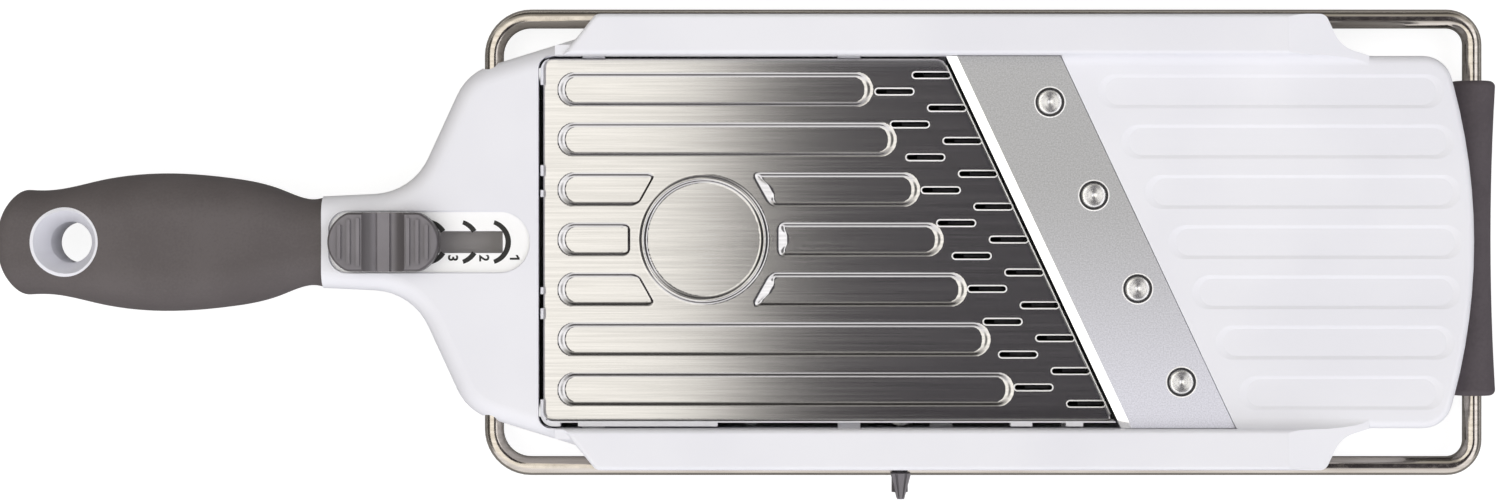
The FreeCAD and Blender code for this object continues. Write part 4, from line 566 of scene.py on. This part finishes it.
def plate_mesh():
    """Pressed face with a rounded edge, closed by upright sides and a flat underside."""
    x, y, edge = plate_grid()
    z = PLATE_Z + plate_relief(x, y)
    z -= EDGE_DROP * np.clip(1.0 - edge / EDGE_ROUND, 0.0, 1.0) ** 2
    points = np.stack([x, y, z], axis=-1).reshape(-1, 3) * MM
    base = len(points)
    index = np.arange(base).reshape(x.shape)
    quads = np.stack([index[:-1, :-1], index[1:, :-1], index[1:, 1:], index[:-1, 1:]], axis=-1)
    faces = quads.reshape(-1, 4).tolist()
    rim = np.concatenate([index[:, 0], index[-1, 1:], index[-2::-1, -1], index[0, -2:0:-1]])
    under = points[rim]
    under[:, 2] = (PLATE_Z - PLATE_T) * MM
    count = len(rim)
    for i in range(count):
        j = (i + 1) % count
        faces.append([int(rim[j]), int(rim[i]), base + i, base + j])
    faces.append([base + i for i in range(count)][::-1])
    mesh = bpy.data.meshes.new("ramp_sheet")
    mesh.from_pydata(np.concatenate([points, under]).tolist(), [], faces)
    mesh.validate()
    return mesh


def slot_outlines():
    """Points round each slot: the middle of the round end that each is on, and its turn about it."""
    reach = (SLOT_LENGTH - SLOT_WIDTH) / 2
    for count, middle_x in SLOT_ROWS:
        for i in range(count):
            y = SLOT_PITCH * ((count - 1) / 2 - i)
            points = []
            for side in (1, -1):
                for k in range(SLOT_END_STEPS + 1):
                    turn = math.pi * (k / SLOT_END_STEPS - side / 2)
                    points.append((middle_x - SLANT * y + side * reach, y, turn))
            yield points


def slot_cutter():
    """Prisms that cut the julienne slots."""
    made = bmesh.new()
    for points in slot_outlines():
        rings = []
        for z in (PLATE_Z - CUT_BELOW, PLATE_Z + CUT_ABOVE):
            ring = [made.verts.new(metres(*polar(x, y, SLOT_WIDTH / 2, turn), z)) for x, y, turn in points]
            rings.append(ring)
            made.faces.new(ring)
        low, high = rings
        for i in range(len(points)):
            j = (i + 1) % len(points)
            made.faces.new((low[i], low[j], high[j], high[i]))
    return bmesh_to_mesh(made, "slot_cutter")


def rim_paths():
    """Lines that rolled edges follow: points with their outward turn, the offset, and whether it closes."""
    for points in slot_outlines():
        yield points, SLOT_WIDTH / 2 + SLOT_RIM_OUT, True
    reach = PLATE_HALF - PLATE_TIP_R
    rows = np.linspace(-reach, reach, EDGE_POINTS)
    yield [(PLATE_EDGE_X - SLANT * y, y, math.atan(SLANT)) for y in rows], -EDGE_RIM_IN, False


def rolled_edges():
    """Rolled edge round each julienne slot and along the ramp's end, white with a painted highlight."""
    made = bmesh.new()
    for points, offset, closed in rim_paths():
        rings = []
        for x, y, turn in points:
            ring = []
            for k in range(RIM_STEPS):
                out, rise = polar(offset, 0.0, RIM_R, 2 * math.pi * k / RIM_STEPS)
                ring.append(made.verts.new(metres(*polar(x, y, out, turn), PLATE_Z + rise)))
            rings.append(ring)
        for a, b in zip(rings, rings[1:] + (rings[:1] if closed else [])):
            for k in range(RIM_STEPS):
                j = (k + 1) % RIM_STEPS
                made.faces.new((a[k], b[k], b[j], a[j]))
        if not closed:
            made.faces.new(rings[0])
            made.faces.new(rings[-1])
    mesh = bmesh_to_mesh(made, "rolled_edges")
    mesh.transform(TO_PLATE)
    mesh.shade_smooth()
    new_piece("rolled_edges", mesh, GLINT_PAINTED_STEEL, "ramp")


def corner_places(mesh):
    """Position of each face corner in millimetres."""
    where = np.zeros(len(mesh.vertices) * 3)
    mesh.vertices.foreach_get("co", where)
    corner = np.zeros(len(mesh.loops), dtype=int)
    mesh.loops.foreach_get("vertex_index", corner)
    return where.reshape(-1, 3)[corner] / MM


def planar_brush(mesh):
    """Brush map whose U direction runs across the brushing."""
    layer = mesh.uv_layers.new(name=BRUSH_MAP)
    at = corner_places(mesh)
    layer.data.foreach_set("uv", np.stack([at[:, 1], at[:, 0]], axis=-1).ravel() / BRUSH_SIZE)


def exact_normals(mesh):
    """Gives the pressed face the normals of its relief instead of those of its facets."""
    at = corner_places(mesh)
    normals = np.zeros(len(mesh.loops) * 3)
    mesh.corner_normals.foreach_get("vector", normals)
    normals = normals.reshape(-1, 3)
    up = np.zeros(len(mesh.polygons) * 3)
    mesh.polygons.foreach_get("normal", up)
    sizes = np.zeros(len(mesh.polygons), dtype=int)
    mesh.polygons.foreach_get("loop_total", sizes)
    upward = np.repeat(up.reshape(-1, 3)[:, 2] > 0.5, sizes)
    pick = upward & (inside_plate(at[:, 0], at[:, 1]) > NORMAL_MARGIN)
    x, y, step = at[pick, 0], at[pick, 1], NORMAL_STEP
    slope_x = (plate_relief(x + step, y) - plate_relief(x - step, y)) / (2 * step)
    slope_y = (plate_relief(x, y + step) - plate_relief(x, y - step)) / (2 * step)
    exact = np.stack([-slope_x, -slope_y, np.ones_like(x)], axis=-1)
    normals[pick] = exact / np.linalg.norm(exact, axis=1, keepdims=True)
    mesh.normals_split_custom_set(normals.tolist())


def ramp_sheet():
    """Pressed sheet with its slots cut, in place of the plain plate."""
    sheet = new_piece("ramp_sheet", plate_mesh(), RAMP, "ramp")
    cutter = bpy.data.objects.new("slot_cutter", slot_cutter())
    scene.collection.objects.link(cutter)
    cut = sheet.modifiers.new("slots", "BOOLEAN")
    cut.operation = "DIFFERENCE"
    cut.solver = "EXACT"
    cut.object = cutter
    mesh = evaluated_mesh(sheet)
    sheet.modifiers.clear()
    sheet.data = mesh
    bpy.data.objects.remove(cutter)
    planar_brush(mesh)
    shade(mesh, 50)
    exact_normals(mesh)
    mesh.transform(TO_PLATE)
    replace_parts(sheet, "ramp_plate")


# Rivets


def rivet_places():
    for k in range(RIVET_COUNT):
        y = RIVET_Y0 + RIVET_PITCH * k
        yield RIVET_X - SLANT * y, y


def raised(profile, z):
    """A profile with its heights counted from z."""
    return [(radius, z + height) for radius, height in profile]


def lathe(profile, places, name, ring=False):
    """Turned pieces round the places, from points of (radius, height); a ring's profile closes on itself."""
    segments, uv_steps = 64, 40
    steps = len(profile) if ring else len(profile) - 1
    verts, faces, uvs = [], [], []
    for place_x, place_y in places:
        base = len(verts)
        for radius, height in profile:
            for k in range(segments):
                at = polar(place_x, place_y, radius, 2 * math.pi * k / segments)
                verts.append(metres(*at, height))
        for i in range(steps):
            near, far = base + i * segments, base + (i + 1) % len(profile) * segments
            for k in range(segments):
                j = (k + 1) % segments
                faces.append([near + k, far + k, far + j, near + j])
                u0, u1, v0, v1 = i / uv_steps, (i + 1) / uv_steps, k / segments, (k + 1) / segments
                uvs += [(u0, v0), (u1, v0), (u1, v1), (u0, v1)]
        for end in () if ring else (0, len(profile) - 1):
            cap = [base + end * segments + k for k in range(segments)]
            faces.append(cap if end == 0 else cap[::-1])
            uvs += [(end / uv_steps, k / segments) for k in range(segments)]
    mesh = bpy.data.meshes.new(name)
    mesh.from_pydata(verts, [], faces)
    layer = mesh.uv_layers.new(name=BRUSH_MAP)
    layer.data.foreach_set("uv", np.array(uvs).ravel())
    shade(mesh, 40)
    return mesh


def rivets():
    """Turned rivet heads, each in a seat with a black ring of painted shade and a rim with a painted
    highlight.
    """
    low, high = box_mm("blade_rivets")
    end, top = low[2], high[2]
    heads = lathe(raised(RIVET_HEAD, top) + raised(RIVET_TAIL, end), rivet_places(), "turned_rivets")
    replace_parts(new_piece("turned_rivets", heads, TURNED, "frame"), "blade_rivets")
    seat_shade = lathe(raised(RIVET_SHADE_RING, top), rivet_places(), "rivet_seat_shade", ring=True)
    # Black bearing plastic laid in each seat as painted shade.
    new_piece("rivet_seat_shade", seat_shade, BUSH, "frame")
    rims = lathe(raised(RIVET_RIM, top), rivet_places(), "rivet_rims", ring=True)
    new_piece("rivet_rims", rims, GLINT_PAINTED_STEEL, "frame")


# Thickness scale


def drawn_mesh(drawn, name):
    """Mesh of a curve or text object, which is then removed."""
    scene.collection.objects.link(drawn)
    mesh = evaluated_mesh(drawn)
    mesh.transform(drawn.matrix_world)
    mesh.materials.clear()
    mesh.name = name
    bpy.data.objects.remove(drawn)
    return mesh


def flat_piece(name, loops, z, thickness, material):
    """Thin flat piece on the body with the given outlines, the later ones being holes."""
    curve = bpy.data.curves.new(name, "CURVE")
    curve.dimensions = "2D"
    curve.fill_mode = "BOTH"
    curve.extrude = thickness / 2 * MM
    for loop in loops:
        line = curve.splines.new("POLY")
        line.use_cyclic_u = True
        line.points.add(len(loop) - 1)
        for point, (x, y) in zip(line.points, loop):
            point.co = (x * MM, y * MM, 0.0, 1.0)
    drawn = bpy.data.objects.new(name, curve)
    drawn.location.z = (z + thickness / 2) * MM
    new_piece(name, drawn_mesh(drawn, name), material, "frame")


def rounded_loop(x0, x1, half, left_r, right_r):
    """Rectangle about the x axis with rounded corners."""
    steps = 12
    loop = []
    for corner in range(4):
        radius = right_r if corner in (0, 3) else left_r
        middle_x = x1 - radius if corner in (0, 3) else x0 + radius
        middle_y = half - radius if corner < 2 else radius - half
        for k in range(steps + 1):
            loop.append(polar(middle_x, middle_y, radius, math.pi / 2 * (corner + k / steps)))
    return loop


def arc_loop(apex, start, stop):
    """One printed arc, thicker in its middle; its outer radius is MARK_R."""
    steps = 24
    outside, inside = [], []
    for k in range(steps + 1):
        turn = math.radians(start + (stop - start) * k / steps)
        width = MARK_WIDTH + MARK_SWELL * math.cos(turn)
        outside.append(polar(apex - MARK_R, 0.0, MARK_R, turn))
        inside.append(polar(apex - MARK_R, 0.0, MARK_R - width, turn))
    return outside + inside[::-1]


def printed_mark(number, apex):
    """Arc of one setting, which the slider's slot divides unless it is the first."""
    runs = [(-MARK_END, MARK_END)] if number == 1 else [(-MARK_END, -MARK_GAP), (MARK_GAP, MARK_END)]
    for k, (start, stop) in enumerate(runs):
        flat_piece("scale_mark_%d_%d" % (number, k), [arc_loop(apex, start, stop)], PRINT_Z, PRINT_T, INK)


def printed_digit(number, x):
    """Number of one setting, upright as seen from the grip; the 1 has an outline of its own."""
    name = "scale_digit_%d" % number
    if number == 1:
        outline = [(x + up, DIGIT_Y - right) for right, up in DIGIT_ONE]
        flat_piece(name, [outline], PRINT_Z, PRINT_T, INK)
        return
    curve = bpy.data.curves.new("digit", "FONT")
    curve.body = str(number)
    curve.size = DIGIT_SIZE * MM
    curve.extrude = PRINT_T / 2 * MM
    curve.offset = DIGIT_WEIGHT * MM
    curve.align_x = curve.align_y = "CENTER"
    digit = bpy.data.objects.new("digit", curve)
    digit.rotation_euler.z = -math.pi / 2
    digit.location = metres(x, DIGIT_Y, PRINT_Z + PRINT_T / 2)
    new_piece(name, drawn_mesh(digit, name), INK, "frame")


def thickness_scale():
    """White panel in the slider's recess with the printed marks and numbers 1 to 3."""
    panel_x0, panel_x1, panel_half = RECESS_X0 + PANEL_SET, RECESS_X1 - PANEL_SET, RECESS_HALF - PANEL_SET
    hole_x0, hole_x1, hole_half = STEM_X0 - STEM_GAP, STEM_X1 + STEM_GAP, STEM_HALF + STEM_GAP
    panel = rounded_loop(panel_x0, panel_x1, panel_half, PANEL_LEFT_R, PANEL_RIGHT_R)
    hole = rounded_loop(hole_x0, hole_x1, hole_half, STEM_CORNER_R, STEM_CORNER_R)
    flat_piece("scale_panel", [panel, hole[::-1]], RECESS_Z, PANEL_T, PANEL)
    for k in range(3):
        printed_mark(k + 1, MARK_X - MARK_PITCH * k)
        printed_digit(k + 1, DIGIT_X - MARK_PITCH * k)


ramp_sheet()
rolled_edges()
rivets()
thickness_scale()


# Studio, in metres
CREAM, COOL, DIM = (1.0, 0.98, 0.93), (0.965, 0.965, 1.0), (1.0, 0.92, 1.1)
SKY_LEVEL = 1.21
SKY_OVER = (  # along x: direction, level and tint
    (-1.0, 0.1, CREAM), (-0.81, 0.1, CREAM), (-0.74, 1.4, CREAM), (-0.022, 1.35, CREAM), (0.008, 0.05, DIM),
    (0.34, 0.05, DIM), (0.42, 1.45, COOL), (0.78, 1.45, COOL), (0.86, 0.2, COOL), (1.0, 0.2, COOL),
)
SKY_BESIDE = (  # along y
    (-1.0, 1.1, COOL), (-0.3, 1.1, COOL), (0.3, 1.0, CREAM), (0.5, 0.6, CREAM), (0.75, 0.5, CREAM),
    (0.88, 0.1, CREAM), (1.0, 0.1, CREAM),
)
SKY_TURN = (0.35, 0.65)  # lean along y over which the sky goes from over to beside
FLOOR_HALF, FLOOR_SHADE, FLOOR_GLOW = 8.0, 0.34, 0.82
# Where the floor's glow is left out as painted shadow: under the body and ramp for the camera, near the
# object in reflections.
UNDER_BODY, UNDER_RAMP = (0.052, 0.118, 0.046), (0.052, 0.088, 0.053)  # middle x, half length, half width
OBJECT_REACH, REACH_FADE, UNDER_FADE = (0.0, 0.2, 0.066), (0.02, 0.15), 0.002
CAMERA_AT, CAMERA_LENS, CAMERA_SENSOR = (-0.000385, -0.0021, 0.830), 72.56, 36.0


def studio_world():
    """Soft boxes left, right and in front, with a dark gap between the two overhead and dark behind."""
    world = bpy.data.worlds.new("studio")
    scene.world = world
    world.use_nodes = True
    sky = Nodes(world.node_tree)
    split = sky.node("ShaderNodeSeparateXYZ", Vector=sky.node("ShaderNodeTexCoord").outputs["Generated"])

    def gradient(axis, stops):
        made = sky.node("ShaderNodeValToRGB", Fac=sky.maths("MULTIPLY_ADD", split.outputs[axis], 0.5, 0.5))
        points = made.color_ramp.elements
        for at, *_ in stops[1:-1]:
            points.new((at + 1) / 2)
        for point, (_, level, tint) in zip(points, stops):
            point.color = (*[level * part for part in tint], 1.0)
        return made.outputs[0]

    over, beside = gradient(0, SKY_OVER), gradient(1, SKY_BESIDE)
    aside = sky.span(sky.maths("ABSOLUTE", split.outputs[1]), 0.0, 1.0, *SKY_TURN)
    back = world.node_tree.nodes["Background"]
    sky.put(back.inputs["Color"], sky.blend(aside, over, beside))
    back.inputs["Strength"].default_value = SKY_LEVEL


def floor_paint():
    """White where the camera sees it clear of the object, and in reflections from farther off; leaving its
    glow out under the object and near it paints the floor's shadow there.
    """
    material = bpy.data.materials.new("pale_floor")
    material.use_nodes = True
    paint = Nodes(material.node_tree)
    paint.tree.nodes.remove(paint.tree.nodes["Principled BSDF"])
    where = paint.node("ShaderNodeNewGeometry").outputs["Position"]
    split = paint.node("ShaderNodeSeparateXYZ", Vector=where)

    def outside(middle_x, half_x, half_y):
        """Distance outside a rectangle on the floor."""
        along = paint.maths("ABSOLUTE", paint.maths("SUBTRACT", split.outputs[0], middle_x))
        across = paint.maths("ABSOLUTE", split.outputs[1])
        past_end, past_side = paint.maths("SUBTRACT", along, half_x), paint.maths("SUBTRACT", across, half_y)
        return paint.maths("MAXIMUM", past_end, past_side)

    # The glow stops under the object and, in reflections, near it, as painted shadow.
    under = paint.maths("MINIMUM", outside(*UNDER_BODY), outside(*UNDER_RAMP))
    clear = paint.span(under, 0.0, 1.0, -UNDER_FADE, 0.0)
    far = paint.span(outside(*OBJECT_REACH), 0.0, 1.0, *REACH_FADE)
    ray = paint.node("ShaderNodeLightPath")
    straight = paint.maths("ADD", ray.outputs["Is Camera Ray"], ray.outputs["Is Transmission Ray"])
    seen = paint.maths("MULTIPLY", straight, clear)
    mirrored = paint.maths("MULTIPLY", ray.outputs["Is Glossy Ray"], far)
    strength = paint.maths("MULTIPLY", paint.maths("ADD", seen, mirrored), FLOOR_GLOW)
    glow = paint.node("ShaderNodeEmission", Strength=strength)
    dull = paint.node("ShaderNodeBsdfDiffuse", Color=(FLOOR_SHADE, FLOOR_SHADE, FLOOR_SHADE, 1.0))
    both = paint.node("ShaderNodeAddShader")
    paint.put(both.inputs[0], glow.outputs[0])
    paint.put(both.inputs[1], dull.outputs[0])
    paint.put(paint.tree.nodes["Material Output"].inputs["Surface"], both.outputs[0])
    return material


def studio_floor():
    """Pale floor that keeps the object's shadow."""
    corners = [(x * FLOOR_HALF, y * FLOOR_HALF, 0.0) for x, y in ((-1, -1), (1, -1), (1, 1), (-1, 1))]
    mesh = bpy.data.meshes.new("floor")
    mesh.from_pydata(corners, [], [(0, 1, 2, 3)])
    mesh.materials.append(floor_paint())
    floor = bpy.data.objects.new("floor", mesh)
    scene.collection.objects.link(floor)


def studio_camera():
    """Camera straight above the cutting face."""
    lens = bpy.data.cameras.new("camera")
    lens.sensor_width = CAMERA_SENSOR
    lens.sensor_fit = "HORIZONTAL"
    lens.lens = CAMERA_LENS
    camera = bpy.data.objects.new("camera", lens)
    camera.location = CAMERA_AT
    scene.collection.objects.link(camera)
    scene.camera = camera


studio_world()
studio_floor()
studio_camera()
scene.view_settings.view_transform = "Standard"
